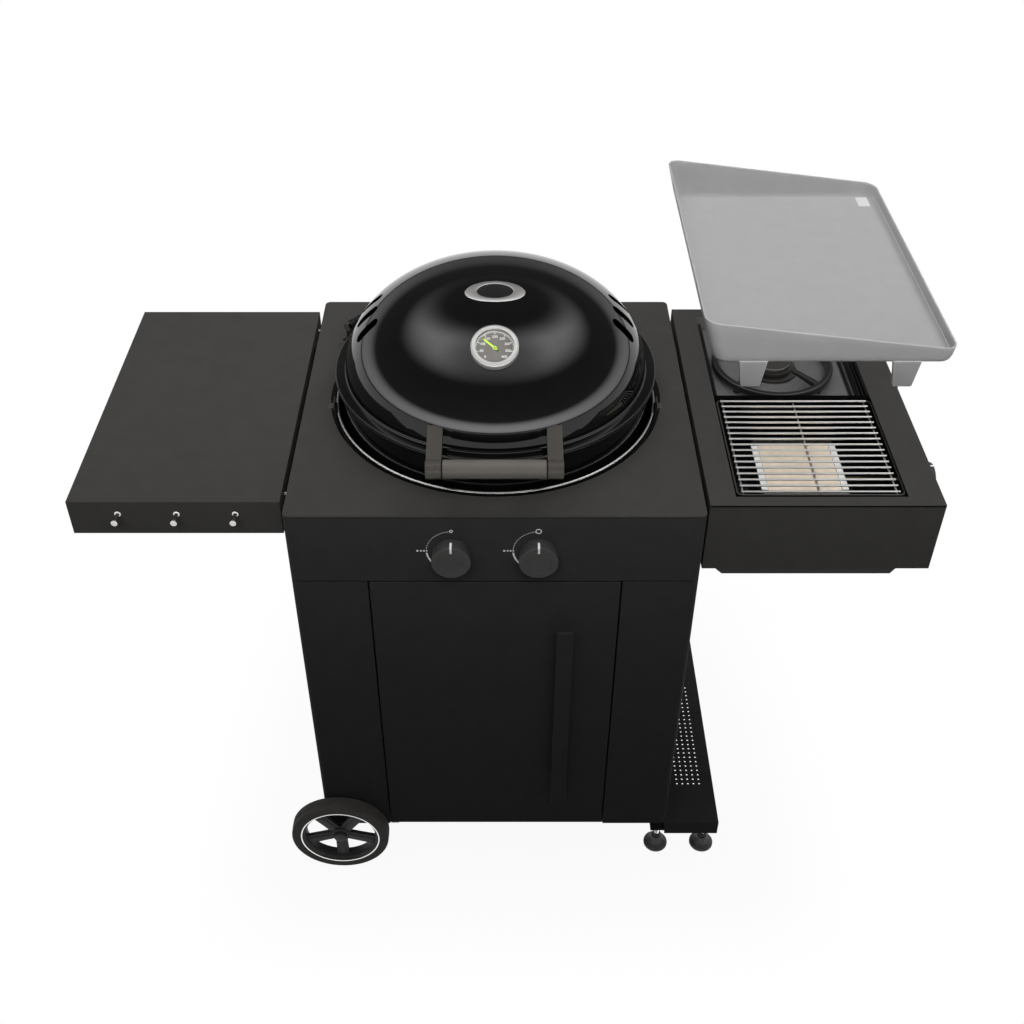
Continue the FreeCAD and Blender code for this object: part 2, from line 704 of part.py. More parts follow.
def door_handle():
    """Flat upright bar on two round posts."""
    x0, x1 = HANDLE_X - HANDLE_W / 2, HANDLE_X + HANDLE_W / 2
    back = HANDLE_T - HANDLE_STAND
    bar = box(x0, x1, -HANDLE_STAND, back, HANDLE_LOW, HANDLE_HIGH)
    bar = rounded(bar, HANDLE_ROUND, lambda e: abs(e.Vertexes[0].Y - e.Vertexes[1].Y) > EDGE_ROUND)
    bar = rounded(bar, EDGE_ROUND, lambda e: all(abs(v.Y + HANDLE_STAND) < 1e-6 for v in e.Vertexes))
    ends = (HANDLE_LOW + HANDLE_POST_IN, HANDLE_HIGH - HANDLE_POST_IN)
    posts = [rod(V(HANDLE_X, back, z), V(0, 1, 0), HANDLE_POST_R, -back) for z in ends]
    return bar.multiFuse(posts).removeSplitter()


# Wheels


def tyre():
    """Solid rubber tyre, with its axis along Y and its middle at the origin."""
    half = TYRE_W / 2
    inner, outer = RIM_R + SLIDE_FIT, WHEEL_R
    path = [(inner, -half), (outer - TYRE_ROUND, -half), (outer, -half + TYRE_ROUND),
            (outer, half - TYRE_ROUND), (outer - TYRE_ROUND, half), (inner, half)]
    mid = TYRE_ROUND * (1 - math.sqrt(0.5))
    arcs = []
    for side in (-1, 1):
        a, b = V(outer - TYRE_ROUND, 0, side * half), V(outer, 0, side * (half - TYRE_ROUND))
        arcs.append(Part.Arc(a, V(outer - mid, 0, side * (half - mid)), b).toShape())
    edges = lines(path[:2]) + lines(path[2:4]) + lines(path[4:] + path[:1]) + arcs
    return placed(turned(edges), V(0, 0, 0), V(1, 0, 0), 90)


def hub():
    """Wheel hub with a rim, a boss bored for the axle and five spokes, one of them straight down."""
    half, web = HUB_W / 2, SPOKE_T / 2
    bore = AXLE_R + SLIDE_FIT
    rim = turned_lines([(RIM_R - RIM_T, -half), (RIM_R, -half), (RIM_R, half), (RIM_R - RIM_T, half)])
    boss = turned_lines([(bore, -half), (BOSS_R, -half), (BOSS_R, half), (bore, half)])
    middle = (BOSS_R + bore) / 2
    spoke = box(middle, RIM_R - RIM_T / 2, -SPOKE_W / 2, SPOKE_W / 2, -web, web)
    spokes = around(spoke, SPOKES, V(0, 0, 0), 90)
    shape = rim.multiFuse([boss] + spokes).removeSplitter()
    return placed(shape, V(0, 0, 0), V(1, 0, 0), 90)


def wheel_places():
    """Middle of the front and of the rear wheel."""
    reach = WHEEL_GAP + TYRE_W / 2
    return {"front": V(WHEEL_X, -reach, WHEEL_R), "rear": V(WHEEL_X, CABINET_D + reach, WHEEL_R)}


def axle():
    """Plain axle through the tray's lips, as long as both wheels."""
    reach = WHEEL_GAP + TYRE_W
    return rod(V(WHEEL_X, -reach, WHEEL_R), V(0, 1, 0), AXLE_R, CABINET_D + 2 * reach)


# Kettle


def kettle_ring():
    """Enamelled trim ring under the cut-out, with a beaded inner edge."""
    low = PLATE_UNDER - RING_T
    flat = turned_lines([(BEAD_RING_R, low), (RING_OUTER_R, low), (RING_OUTER_R, PLATE_UNDER),
                         (BEAD_RING_R, PLATE_UNDER)])
    bead = Part.makeTorus(BEAD_RING_R, BEAD_R, V(0, 0, PLATE_UNDER - RING_T / 2))
    return placed(flat.fuse(bead).removeSplitter(), KETTLE)


def kettle_bowl():
    """Enamelled bowl with a rolled-out rim, a drain hole and a hole for each burner tube."""
    inner, depth = BOWL_R - BOWL_WALL, BOWL_DEPTH - BOWL_WALL
    rim_r = BOWL_R + BOWL_RIM_W
    path = [(inner, BOWL_TURN_Z), (inner, BOWL_RIM_Z), (rim_r, BOWL_RIM_Z), (rim_r, BOWL_RIM_Z - BOWL_RIM_T),
            (BOWL_R, BOWL_RIM_Z - BOWL_RIM_T), (BOWL_R, BOWL_TURN_Z)]
    hole_edge = [(BOWL_HOLE_R, BOWL_TURN_Z - ellipse_height(r, d, BOWL_HOLE_R))
                 for r, d in ((BOWL_R, BOWL_DEPTH), (inner, depth))]
    edges = lines(path) + lines(hole_edge)
    edges += [quarter_ellipse(r, -d, BOWL_TURN_Z, BOWL_HOLE_R)
              for r, d in ((BOWL_R, BOWL_DEPTH), (inner, depth))]
    shape = placed(turned(edges), KETTLE)
    holes = [rod(V(side * KNOB_X, 0, KNOB_Z), V(0, 1, 0), FEED_TUBE_R + FEED_HOLE_CLEAR, KETTLE_Y)
             for side in (-1, 1)]
    return shape.cut(Part.makeCompound(holes))


def bowl_brackets():
    """Outer brackets that hang the bowl from the ring, and inner tabs for funnel and grate."""
    ring_low = PLATE_UNDER - RING_T
    foot = ring_low - BRACKET_DROP
    outer_r = CUTOUT_R + BRACKET_T
    half = BRACKET_W / 2
    bracket = box(BOWL_R - BRACKET_T, outer_r, -half, half, foot, foot + BRACKET_T)
    bracket = bracket.fuse(box(CUTOUT_R, outer_r, -half, half, foot, ring_low)).removeSplitter()
    outer = [part.cut(BOWL_OUTSIDE) for part in around(bracket, BRACKET_COUNT, KETTLE, 180.0 / BRACKET_COUNT)]
    funnel_z, grate_z = WORK_HEIGHT + FUNNEL_SEAT_UP, WORK_HEIGHT + GRATE_SEAT_UP
    low_r, high_r = BOWL_R - TAB_LOW_REACH, BOWL_R - TAB_HIGH_REACH
    tab = box(low_r, BOWL_R, -TAB_W / 2, TAB_W / 2, funnel_z - TAB_FLOOR, funnel_z)
    tab = tab.fuse(box(high_r, BOWL_R, -TAB_W / 2, TAB_W / 2, funnel_z, grate_z)).removeSplitter()
    tabs = [part.common(BOWL_INSIDE) for part in around(tab, TAB_COUNT, KETTLE, 90)]
    return Part.makeCompound(outer + tabs)


def funnel():
    """Sheet cone that leads fat to the drain and shields the burners."""
    top = WORK_HEIGHT + FUNNEL_SEAT_UP
    t = SHEET
    rim_r = FUNNEL_R - FUNNEL_RIM_W
    low = top - FUNNEL_DEPTH
    cone = turned_lines([(FUNNEL_R, top), (rim_r, top), (FUNNEL_MOUTH_R, low), (FUNNEL_MOUTH_R, low + t),
                         (rim_r, top + t), (FUNNEL_R, top + t)])
    return placed(cone, KETTLE)


def cooking_grate():
    """Round wire grate."""
    z = WORK_HEIGHT + GRATE_SEAT_UP + GRATE_RING_R
    ring = Part.makeTorus(GRATE_R, GRATE_RING_R, V(0, KETTLE_Y, z))
    count = int((GRATE_R - GRATE_RING_R) / GRATE_PITCH)
    bars = []
    for i in range(-count, count + 1):
        x = i * GRATE_PITCH
        half = math.sqrt(GRATE_R ** 2 - x ** 2)
        bars.append(rod(V(x, KETTLE_Y - half, z), V(0, 1, 0), GRATE_BAR_R, 2 * half))
    return ring.multiFuse(bars)


def feed_tube(x, end_y):
    """Straight burner tube from a valve's nozzle into the bowl."""
    start = SHEET + VALVE_L + NOZZLE_L
    return rod(V(x, start, KNOB_Z), V(0, 1, 0), FEED_TUBE_R, end_y - start)


def outer_burner():
    """Large burner, a ring left open where the inner burner's tube passes."""
    reach = math.sqrt(OUTER_BURNER_R ** 2 - KNOB_X ** 2)
    gap_middle = 180 + math.degrees(math.atan2(reach, KNOB_X))
    ring = Part.makeTorus(OUTER_BURNER_R, BURNER_TUBE_R, V(0, 0, 0), V(0, 0, 1), 0, 360, 360 - BURNER_GAP_DEG)
    ring = placed(ring, V(0, KETTLE_Y, KNOB_Z), V(0, 0, 1), gap_middle + BURNER_GAP_DEG / 2)
    return ring.fuse(feed_tube(KNOB_X, KETTLE_Y - reach)).removeSplitter()


def inner_burner():
    """Small closed ring burner."""
    reach = math.sqrt(INNER_BURNER_R ** 2 - KNOB_X ** 2)
    ring = Part.makeTorus(INNER_BURNER_R, BURNER_TUBE_R, V(0, KETTLE_Y, KNOB_Z))
    return ring.fuse(feed_tube(-KNOB_X, KETTLE_Y - reach)).removeSplitter()


def burner_support():
    """Flat bar across the bowl under both burners."""
    top = KNOB_Z - BURNER_TUBE_R
    half = BURNER_BAR_W / 2
    bar = box(-BOWL_R, BOWL_R, KETTLE_Y - half, KETTLE_Y + half, top - BURNER_BAR_T, top)
    return bar.common(BOWL_INSIDE)


def valve_block():
    """Gas valve with its stem bore, built behind a panel whose inner face is at y = 0."""
    half = VALVE_W / 2
    block = box(-half, half, 0, VALVE_L, -VALVE_DOWN, VALVE_UP)
    bore = rod(V(0, 0, 0), V(0, 1, 0), STEM_R + SLIDE_FIT, STEM_IN_VALVE + STEM_SPARE)
    return block.cut(bore)


def gas_manifold():
    """Gas pipe with its hose inlet at the left, and the two kettle valves that sit on it."""
    end = V(MANIFOLD_LEFT, MANIFOLD_Y, MANIFOLD_Z)
    pipe = rod(end, V(1, 0, 0), MANIFOLD_R, MANIFOLD_RIGHT - MANIFOLD_LEFT)
    collar = rod(end, V(-1, 0, 0), INLET_COLLAR_R, INLET_COLLAR_T)
    inlet = rod(end, V(-1, 0, 0), INLET_R, INLET_COLLAR_T + INLET_L)
    pieces = [pipe.multiFuse([collar, inlet]).removeSplitter()]
    nozzle = rod(V(0, VALVE_L, 0), V(0, 1, 0), NOZZLE_R, NOZZLE_L)
    valve = valve_block().fuse(nozzle).removeSplitter()
    for side in (-1, 1):
        pieces.append(placed(valve, V(side * KNOB_X, SHEET, KNOB_Z)))
    return Part.makeCompound(pieces)


def drip_cup():
    """Round cup under the bowl's drain, up to the bowl's outside."""
    height = BOWL_TURN_Z - CUP_FLOOR_Z
    cup = rod(KETTLE + V(0, 0, CUP_FLOOR_Z), V(0, 0, 1), CUP_R, height)
    inside = rod(KETTLE + V(0, 0, CUP_FLOOR_Z + CUP_WALL), V(0, 0, 1), CUP_R - CUP_WALL, height)
    return cup.cut(inside).cut(BOWL_OUTSIDE)


# Knobs


def knob():
    """Round knob about Y, outwards along -Y from the panel face at y = 0, with a dished front."""
    bore, blind = STEM_R + SLIDE_FIT, KNOB_FACE - KNOB_CAP
    body = turned_lines([(bore, KNOB_GAP), (KNOB_R, KNOB_GAP), (KNOB_R, KNOB_FACE - KNOB_EDGE),
                         (KNOB_R - KNOB_EDGE, KNOB_FACE), (KNOB_DISH_R, KNOB_FACE),
                         (KNOB_DISH_R - KNOB_DISH, KNOB_FACE - KNOB_DISH), (0, KNOB_FACE - KNOB_DISH),
                         (0, blind), (bore, blind)])
    first = KNOB_R - KNOB_EDGE - POINTER_L
    mark = box(-POINTER_W / 2, POINTER_W / 2, first, first + POINTER_L, KNOB_FACE - KNOB_DISH, KNOB_FACE)
    return placed(body.fuse(mark).removeSplitter(), V(0, 0, 0), V(1, 0, 0), 90)


def stem():
    """Valve stem about Y, from inside the knob through the panel into the valve."""
    front = KNOB_FACE - KNOB_CAP - END_GAP
    return rod(V(0, -front, 0), V(0, 1, 0), STEM_R, front + SHEET + STEM_IN_VALVE)


def knob_places():
    """Each knob's name, its centre on the panel face and its turn about the upright axis."""
    return {
        "inner_burner": (V(-KNOB_X, 0, KNOB_Z), 0),
        "outer_burner": (V(KNOB_X, 0, KNOB_Z), 0),
        "side_grill": (V(MODULE_RIGHT, SIDE_KNOB_FRONT_Y, SIDE_KNOB_Z), 90),
        "side_hob": (V(MODULE_RIGHT, SIDE_KNOB_BACK_Y, SIDE_KNOB_Z), 90),
    }


# Lid


def lid_shell():
    """Domed lid with a flat brim, oblong air vents at both sides and a seat for the thermometer."""
    inner, t = LID_R - LID_WALL, BRIM_T
    path = [(LID_R, BRIM_Z), (BRIM_R, BRIM_Z), (BRIM_R, BRIM_Z - BRIM_LIP), (BRIM_R - t, BRIM_Z - BRIM_LIP),
            (BRIM_R - t, BRIM_Z - t), (inner, BRIM_Z - t), (inner, BRIM_Z)]
    low = BRIM_Z + ellipse_height(inner, LID_H - LID_WALL, CROWN_R)
    high = BRIM_Z + ellipse_height(LID_R, LID_H, CROWN_R)
    edges = lines(path) + lines([(CROWN_R, low), (0, low), (0, high), (CROWN_R, high)])
    edges += [quarter_ellipse(LID_R, LID_H, BRIM_Z, CROWN_R),
              quarter_ellipse(inner, LID_H - LID_WALL, BRIM_Z, CROWN_R)]
    shape = placed(turned(edges), KETTLE)
    cuts = [thermo_placed(rod(V(0, 0, -LID_H / 2), V(0, 0, 1), THERMO_R + SEAT_FIT, LID_H))]
    slot = obround(LID_VENT_L, LID_VENT_W, LID_VENT_CUT)
    slot = placed(slot, dome_point(LID_VENT_TILT), V(0, 1, 0), dome_lean(LID_VENT_TILT))
    middle = (LID_VENTS_A_SIDE - 1) / 2
    for i in range(LID_VENTS_A_SIDE):
        turn = (i - middle) * LID_VENT_STEP + LID_VENT_BACK
        cuts.append(placed(slot, KETTLE, V(0, 0, 1), turn))
        cuts.append(placed(slot, KETTLE, V(0, 0, 1), 180 - turn))
    for cutter in cuts:
        shape = shape.cut(cutter)
    return shape


def dome_point(tilt):
    """Point on the dome to the right of the kettle's axis, at an ellipse angle."""
    angle = math.radians(tilt)
    return V(LID_R * math.cos(angle), 0, BRIM_Z + LID_H * math.sin(angle))


def dome_lean(tilt):
    """Angle in degrees between the dome's normal there and the upright."""
    angle = math.radians(tilt)
    return math.degrees(math.atan2(math.cos(angle) / LID_R, math.sin(angle) / LID_H))


def thermo_placed(shape):
    """A shape from the thermometer's own frame, set on the front of the dome."""
    leaned = placed(shape, V(0, 0, 0), V(0, 1, 0), dome_lean(THERMO_TILT))
    return placed(placed(leaned, dome_point(THERMO_TILT)), KETTLE, V(0, 0, 1), -90)


def lid_hinge_placed(shape):
    """A shape from the hinge's own frame (x outwards, y along the pin), set at the back left."""
    return placed(shape, KETTLE, V(0, 0, 1), HINGE_DEG)


def lid_hinge_bracket():
    """Base plate on the worktop with two ears for the hinge pin."""
    half = EAR_GAP / 2
    x0, x1 = HINGE_R - HINGE_BASE_IN, HINGE_R + HINGE_BASE_OUT
    pieces = []
    for side in (-1, 1):
        y0, y1 = sorted((side * half, side * (half + EAR_T)))
        pieces.append(box(HINGE_R - EAR_R, HINGE_R + EAR_R, y0, y1, WORK_HEIGHT, HINGE_Z))
        pieces.append(rod(V(HINGE_R, y0, HINGE_Z), V(0, 1, 0), EAR_R, EAR_T))
    base = box(x0, x1, -half - EAR_T, half + EAR_T, WORK_HEIGHT, WORK_HEIGHT + HINGE_BASE_T)
    shape = base.multiFuse(pieces).removeSplitter()
    hole = rod(V(HINGE_R, -EAR_GAP, HINGE_Z), V(0, 1, 0), HINGE_PIN_R + SLIDE_FIT, 2 * EAR_GAP)
    return lid_hinge_placed(shape.cut(hole))


def hexagon(radius, thickness):
    """Six-sided head about Y, starting at the origin."""
    corners = [V(radius * math.cos(math.radians(60 * i)), 0, radius * math.sin(math.radians(60 * i)))
               for i in range(6)]
    return prism(corners, V(0, thickness, 0))


def lid_hinge_pin():
    """Hinge bolt with a six-sided head and nut outside the ears."""
    reach = EAR_GAP / 2 + EAR_T
    pin = rod(V(0, -reach, 0), V(0, 1, 0), HINGE_PIN_R, 2 * reach)
    head = placed(hexagon(HINGE_HEAD_R, HINGE_HEAD_T), V(0, reach, 0))
    nut = placed(hexagon(HINGE_HEAD_R, HINGE_HEAD_T), V(0, -reach - HINGE_HEAD_T, 0))
    return lid_hinge_placed(placed(pin.multiFuse([head, nut]).removeSplitter(), V(HINGE_R, 0, HINGE_Z)))


def lid_hinge_strap():
    """Strap on the lid's brim that slopes down to a barrel round the hinge pin."""
    half = STRAP_W / 2
    bend = BRIM_R + STRAP_BEND_OUT
    top = BRIM_Z + STRAP_T
    arm = box(STRAP_FIRST_R, bend, -half, half, BRIM_Z, top)
    slope = [V(bend, -half, top), V(HINGE_R + STRAP_NECK, -half, HINGE_Z),
             V(HINGE_R - STRAP_NECK, -half, HINGE_Z), V(bend, -half, BRIM_Z)]
    web = prism(slope, V(0, STRAP_W, 0))
    barrel_half = EAR_GAP / 2 - BARREL_SIDE_GAP
    barrel = rod(V(HINGE_R, -barrel_half, HINGE_Z), V(0, 1, 0), BARREL_R, 2 * barrel_half)
    shape = arm.multiFuse([web, barrel]).removeSplitter()
    bore = rod(V(HINGE_R, -EAR_GAP, HINGE_Z), V(0, 1, 0), HINGE_PIN_R + SLIDE_FIT, 2 * EAR_GAP)
    return lid_hinge_placed(shape.cut(bore))


def lid_handle_arms():
    """Two strap arms from the dome to the handle bar, with a washer boss towards the bar."""
    bar = V(0, BAR_Y, WORK_HEIGHT + BAR_UP)
    root = V(0, ARM_ROOT_Y, WORK_HEIGHT + ARM_ROOT_UP)
    along = (root - bar).normalize()
    across = V(0, -along.z, along.y) * (ARM_T / 2)
    first = BAR_HALF_L + WASHER_T
    strap = prism([bar + across, root + across, root - across, bar - across], V(ARM_W, 0, 0))
    end = rod(bar, V(1, 0, 0), BAR_R, ARM_W)
    arm = strap.fuse(end).removeSplitter()
    washer = rod(V(BAR_HALF_L, bar.y, bar.z), V(1, 0, 0), WASHER_R, WASHER_T)
    right = placed(arm, V(first, 0, 0)).fuse(washer).removeSplitter().cut(dome_body())
    left = right.mirror(V(0, 0, 0), V(1, 0, 0))
    return Part.makeCompound([left, right])


def lid_handle_bar():
    """Round grip between the arms."""
    return rod(V(-BAR_HALF_L, BAR_Y, WORK_HEIGHT + BAR_UP), V(1, 0, 0), BAR_R, 2 * BAR_HALF_L)


def thermometer_case():
    """Thermometer cup with its bezel and the probe inside the lid."""
    well = THERMO_R - THERMO_BEZEL
    floor = -THERMO_DOWN + THERMO_FLOOR
    shape = turned_lines([(0, -THERMO_DOWN), (THERMO_R, -THERMO_DOWN), (THERMO_R, THERMO_UP),
                          (well, THERMO_UP), (well, floor), (0, floor)])
    probe = rod(V(0, 0, -THERMO_DOWN - PROBE_L), V(0, 0, 1), PROBE_R, PROBE_L)
    return thermo_placed(shape.fuse(probe).removeSplitter())


DIAL_Z = -THERMO_DOWN + THERMO_FLOOR
DIAL_R = THERMO_R - THERMO_BEZEL - SLIDE_FIT
NEEDLE_Z = DIAL_Z + DIAL_T + 2 * NEEDLE_T


def thermometer_dial():
    """Dial plate with the post that the needle turns on."""
    plate = rod(V(0, 0, DIAL_Z), V(0, 0, 1), DIAL_R, DIAL_T)
    post = rod(V(0, 0, DIAL_Z + DIAL_T), V(0, 0, 1), NEEDLE_POST_R, 4 * NEEDLE_T)
    return thermo_placed(plate.fuse(post).removeSplitter())


def thermometer_glass():
    """Flat glass held in the bezel."""
    return thermo_placed(rod(V(0, 0, THERMO_UP - GLASS_DOWN - GLASS_T), V(0, 0, 1), DIAL_R, GLASS_T))


def thermometer_needle():
    """Balanced needle with a hub bored for the post."""
    tip, tail = V(NEEDLE_L, 0, NEEDLE_Z), V(-NEEDLE_TAIL, 0, NEEDLE_Z)
    half = V(0, NEEDLE_W / 2, 0)
    blade = prism([tip, half + V(0, 0, NEEDLE_Z), tail + half, tail - half, V(0, 0, NEEDLE_Z) - half],
                  V(0, 0, NEEDLE_T))
    shape = blade.fuse(rod(V(0, 0, NEEDLE_Z), V(0, 0, 1), NEEDLE_HUB_R, NEEDLE_T))
    bore = rod(V(0, 0, NEEDLE_Z), V(0, 0, 1), NEEDLE_POST_R + SLIDE_FIT, NEEDLE_T)
    shape = shape.cut(bore).removeSplitter()
    return thermo_placed(placed(shape, V(0, 0, 0), V(0, 0, 1), NEEDLE_DEG + 90))


# Shelf


def shelf_hinge_places():
    """Middle of each shelf hinge along the cabinet's side."""
    return [SHELF_FRONT_Y + SHELF_HINGE_IN, SHELF_FRONT_Y + SHELF_D - SHELF_HINGE_IN]


def shelf_panel():
    """Folded shelf, open below, with a lug for each hinge."""
    t = SHEET
    y0, y1 = SHELF_FRONT_Y, SHELF_FRONT_Y + SHELF_D
    shape = box(SHELF_LEFT, SHELF_RIGHT, y0, y1, SHELF_BOTTOM, WORK_HEIGHT)
    inside = box(SHELF_LEFT + t, SHELF_RIGHT - t, y0 + t, y1 - t, SHELF_BOTTOM, PLATE_UNDER)
    shape = rounded(shape, EDGE_ROUND, lambda e: upright(e) or on_top(e))
    shape = shape.cut(inside)
    lugs = []
    bores = []
    for y in shelf_hinge_places():
        lug_low = y - SHELF_LUG_T / 2
        block = box(SHELF_AXIS_X - SHELF_EYE_R, SHELF_RIGHT - t, lug_low, lug_low + SHELF_LUG_T,
                    SHELF_BOTTOM, SHELF_BOTTOM + SHELF_LUG_H)
        neck = box(SHELF_AXIS_X - SHELF_EYE_R, SHELF_AXIS_X + SHELF_EYE_R, lug_low, lug_low + SHELF_LUG_T,
                   SHELF_AXIS_Z, SHELF_BOTTOM)
        eye = rod(V(SHELF_AXIS_X, lug_low, SHELF_AXIS_Z), V(0, 1, 0), SHELF_EYE_R, SHELF_LUG_T)
        bore = rod(V(SHELF_AXIS_X, lug_low, SHELF_AXIS_Z), V(0, 1, 0), SHELF_PIN_R + SLIDE_FIT, SHELF_LUG_T)
        lugs += [block, neck, eye]
        bores.append(bore)
    return shape.multiFuse(lugs).removeSplitter().cut(Part.makeCompound(bores))


def shelf_hinge_bracket(y):
    """Base plate on the cabinet's side with two ears, their pin and the stop that holds the shelf level."""
    wall = -HALF_W
    ear_gap = SHELF_LUG_T / 2 + SHELF_LUG_GAP
    reach = ear_gap + SHELF_EAR_T
    base_x = wall - SHELF_BASE_T
    stop_z = WORK_HEIGHT - SHELF_STOP_DOWN
    top = stop_z + SHELF_STOP_R
    pieces = [box(base_x, wall, y - reach, y + reach, SHELF_AXIS_Z - SHELF_EYE_R, top)]
    for side in (-1, 1):
        y0 = y + side * ear_gap if side > 0 else y - reach
        pieces.append(box(SHELF_AXIS_X, base_x, y0, y0 + SHELF_EAR_T,
                          SHELF_AXIS_Z - SHELF_EYE_R, SHELF_AXIS_Z + SHELF_EYE_R))
        pieces.append(rod(V(SHELF_AXIS_X, y0, SHELF_AXIS_Z), V(0, 1, 0), SHELF_EYE_R, SHELF_EAR_T))
    pieces.append(rod(V(SHELF_AXIS_X, y - reach, SHELF_AXIS_Z), V(0, 1, 0), SHELF_PIN_R, 2 * reach))
    stop_x = SHELF_RIGHT + END_GAP
    pieces.append(rod(V(stop_x, y, stop_z), V(1, 0, 0), SHELF_STOP_R, base_x - stop_x))
    return pieces[0].multiFuse(pieces[1:]).removeSplitter()


def tool_hooks():
    """Three round hooks with a collar and a disc head on the shelf's front."""
    half = HOOK_HEAD_T / 2
    hook = turned_lines([(0, 0), (HOOK_HEAD_R, 0), (HOOK_HEAD_R, half), (HOOK_R, HOOK_HEAD_T),
                         (HOOK_R, HOOK_L - HOOK_HEAD_T), (HOOK_HEAD_R, HOOK_L - half), (HOOK_HEAD_R, HOOK_L),
                         (0, HOOK_L)])
    hook = placed(hook, V(0, 0, 0), V(1, 0, 0), 90)
    z = WORK_HEIGHT - HOOK_DOWN
    x0 = SHELF_LEFT + HOOK_FIRST_X
    hooks = [placed(hook, V(x0 + i * HOOK_PITCH, SHELF_FRONT_Y, z)) for i in range(HOOK_COUNT)]
    return Part.makeCompound(hooks)


# Burner module


def module_housing():
    """Sheet housing with two openings on top, an open floor, spacers to the cabinet and tray rails."""
    t, rim = SHEET, MODULE_FLOOR_RIM
    shape = box(MODULE_LEFT, MODULE_RIGHT, MODULE_FRONT_Y, MODULE_BACK_Y, MODULE_BOTTOM, WORK_HEIGHT)
    shape = rounded(shape, EDGE_ROUND, lambda e: upright(e) or on_top(e))
    cuts = [box(MODULE_LEFT + t, MODULE_RIGHT - t, MODULE_FRONT_Y + t, MODULE_BACK_Y - t,
                MODULE_BOTTOM + t, PLATE_UNDER),
            box(BAY_LEFT, BAY_RIGHT, BAY_FRONT, BAY_BACK, PLATE_UNDER, WORK_HEIGHT),
            box(BAY_LEFT, BAY_RIGHT, HOB_FRONT, HOB_BACK, PLATE_UNDER, WORK_HEIGHT),
            box(MODULE_LEFT + rim, MODULE_RIGHT - MODULE_FLOOR_RIM_RIGHT, MODULE_FRONT_Y + rim,
                MODULE_BACK_Y - rim, MODULE_BOTTOM, MODULE_BOTTOM + t)]
    for y in (SIDE_KNOB_FRONT_Y, SIDE_KNOB_BACK_Y):
        cuts.append(rod(V(MODULE_RIGHT - t, y, SIDE_KNOB_Z), V(1, 0, 0), STEM_HOLE_R, t))
    shape = shape.cut(Part.makeCompound(cuts))
    extras = []
    for y in (MODULE_FRONT_Y + MODULE_SPACER_IN, MODULE_BACK_Y - MODULE_SPACER_IN - MODULE_SPACER_W):
        middle = WORK_HEIGHT - MODULE_H / 2
        half = MODULE_SPACER_H / 2
        extras.append(box(HALF_W, MODULE_LEFT, y, y + MODULE_SPACER_W, middle - half, middle + half))
    return shape.multiFuse(extras + drip_rails()).removeSplitter()


def drip_rails():
    """Two angle rails under the housing's floor that carry the drip tray's flanges."""
    left = MODULE_LEFT + DRIP_LEFT - DRIP_FLANGE - RAIL_SIDE_GAP
    right = MODULE_LEFT + DRIP_LEFT + DRIP_W + DRIP_FLANGE + RAIL_SIDE_GAP
    y0, y1 = MODULE_FRONT_Y + DRIP_FRONT, MODULE_FRONT_Y + DRIP_FRONT + DRIP_D
    low = MODULE_BOTTOM - RAIL_H
    rails = []
    for edge, side in ((left, -1), (right, 1)):
        leg = sorted((edge, edge + side * RAIL_T))
        foot = sorted((edge, edge - side * RAIL_FOOT))
        rails.append(box(leg[0], leg[1], y0, y1, low, MODULE_BOTTOM))
        rails.append(box(foot[0], foot[1], y0, y1, low, low + RAIL_T))
    return rails


def drip_tray():
    """Shallow pan with slanted ends and side flanges for the rails."""
    low = MODULE_BOTTOM - RAIL_H + RAIL_T + END_GAP
    top = low + DRIP_FLANGE_T
    floor = top - DRIP_H
    x0 = MODULE_LEFT + DRIP_LEFT
    y0 = MODULE_FRONT_Y + DRIP_FRONT
    floor_x = x0 + DRIP_SLANT_LEFT

    def pan(inset, bottom, front, back):
        points = [V(x0 + inset, front, top), V(x0 + DRIP_W - inset, front, top),
                  V(floor_x + DRIP_FLOOR_W - inset, front, bottom), V(floor_x + inset, front, bottom)]
        return prism(points, V(0, back - front, 0))

    w = DRIP_WALL
    shape = pan(0, floor, y0, y0 + DRIP_D).cut(pan(w, floor + w, y0 + w, y0 + DRIP_D - w))
    flanges = [box(x0 - DRIP_FLANGE, x0 + w / 2, y0, y0 + DRIP_D, low, top),
               box(x0 + DRIP_W - w / 2, x0 + DRIP_W + DRIP_FLANGE, y0, y0 + DRIP_D, low, top)]
    hollow = pan(w, floor + w, y0 + w, y0 + DRIP_D - w)
    return shape.multiFuse([flange.cut(hollow) for flange in flanges]).removeSplitter()


def liner(front, back, floor):
    """Open enamelled box hung under one of the module's openings."""
    t = SHEET
    outer = box(BAY_LEFT - t, BAY_RIGHT + t, front - t, back + t, floor - t, PLATE_UNDER)
    return outer.cut(box(BAY_LEFT, BAY_RIGHT, front, back, floor, PLATE_UNDER))


GRID_ROD_Z = WORK_HEIGHT - GRID_TOP_DOWN - 2 * GRID_BAR_R - GRID_ROD_R + GRID_ROD_SINK
LEDGE_TOP = GRID_ROD_Z - GRID_ROD_R


def bay_liner():
    """Liner of the front bay with two ledges for the grid and a hole for the burner's gas tube."""
    shape = liner(BAY_FRONT, BAY_BACK, BAY_FLOOR)
    low = LEDGE_TOP - LEDGE_T
    ledges = [box(BAY_LEFT, BAY_RIGHT, BAY_FRONT, BAY_FRONT + LEDGE_W, low, LEDGE_TOP),
              box(BAY_LEFT, BAY_RIGHT, BAY_BACK - LEDGE_W, BAY_BACK, low, LEDGE_TOP)]
    hole_r = SIDE_TUBE_R + FEED_HOLE_CLEAR
    hole = rod(V(BAY_RIGHT, SIDE_KNOB_FRONT_Y, SIDE_KNOB_Z), V(1, 0, 0), hole_r, 2 * SHEET)
    return shape.multiFuse(ledges).removeSplitter().cut(hole)


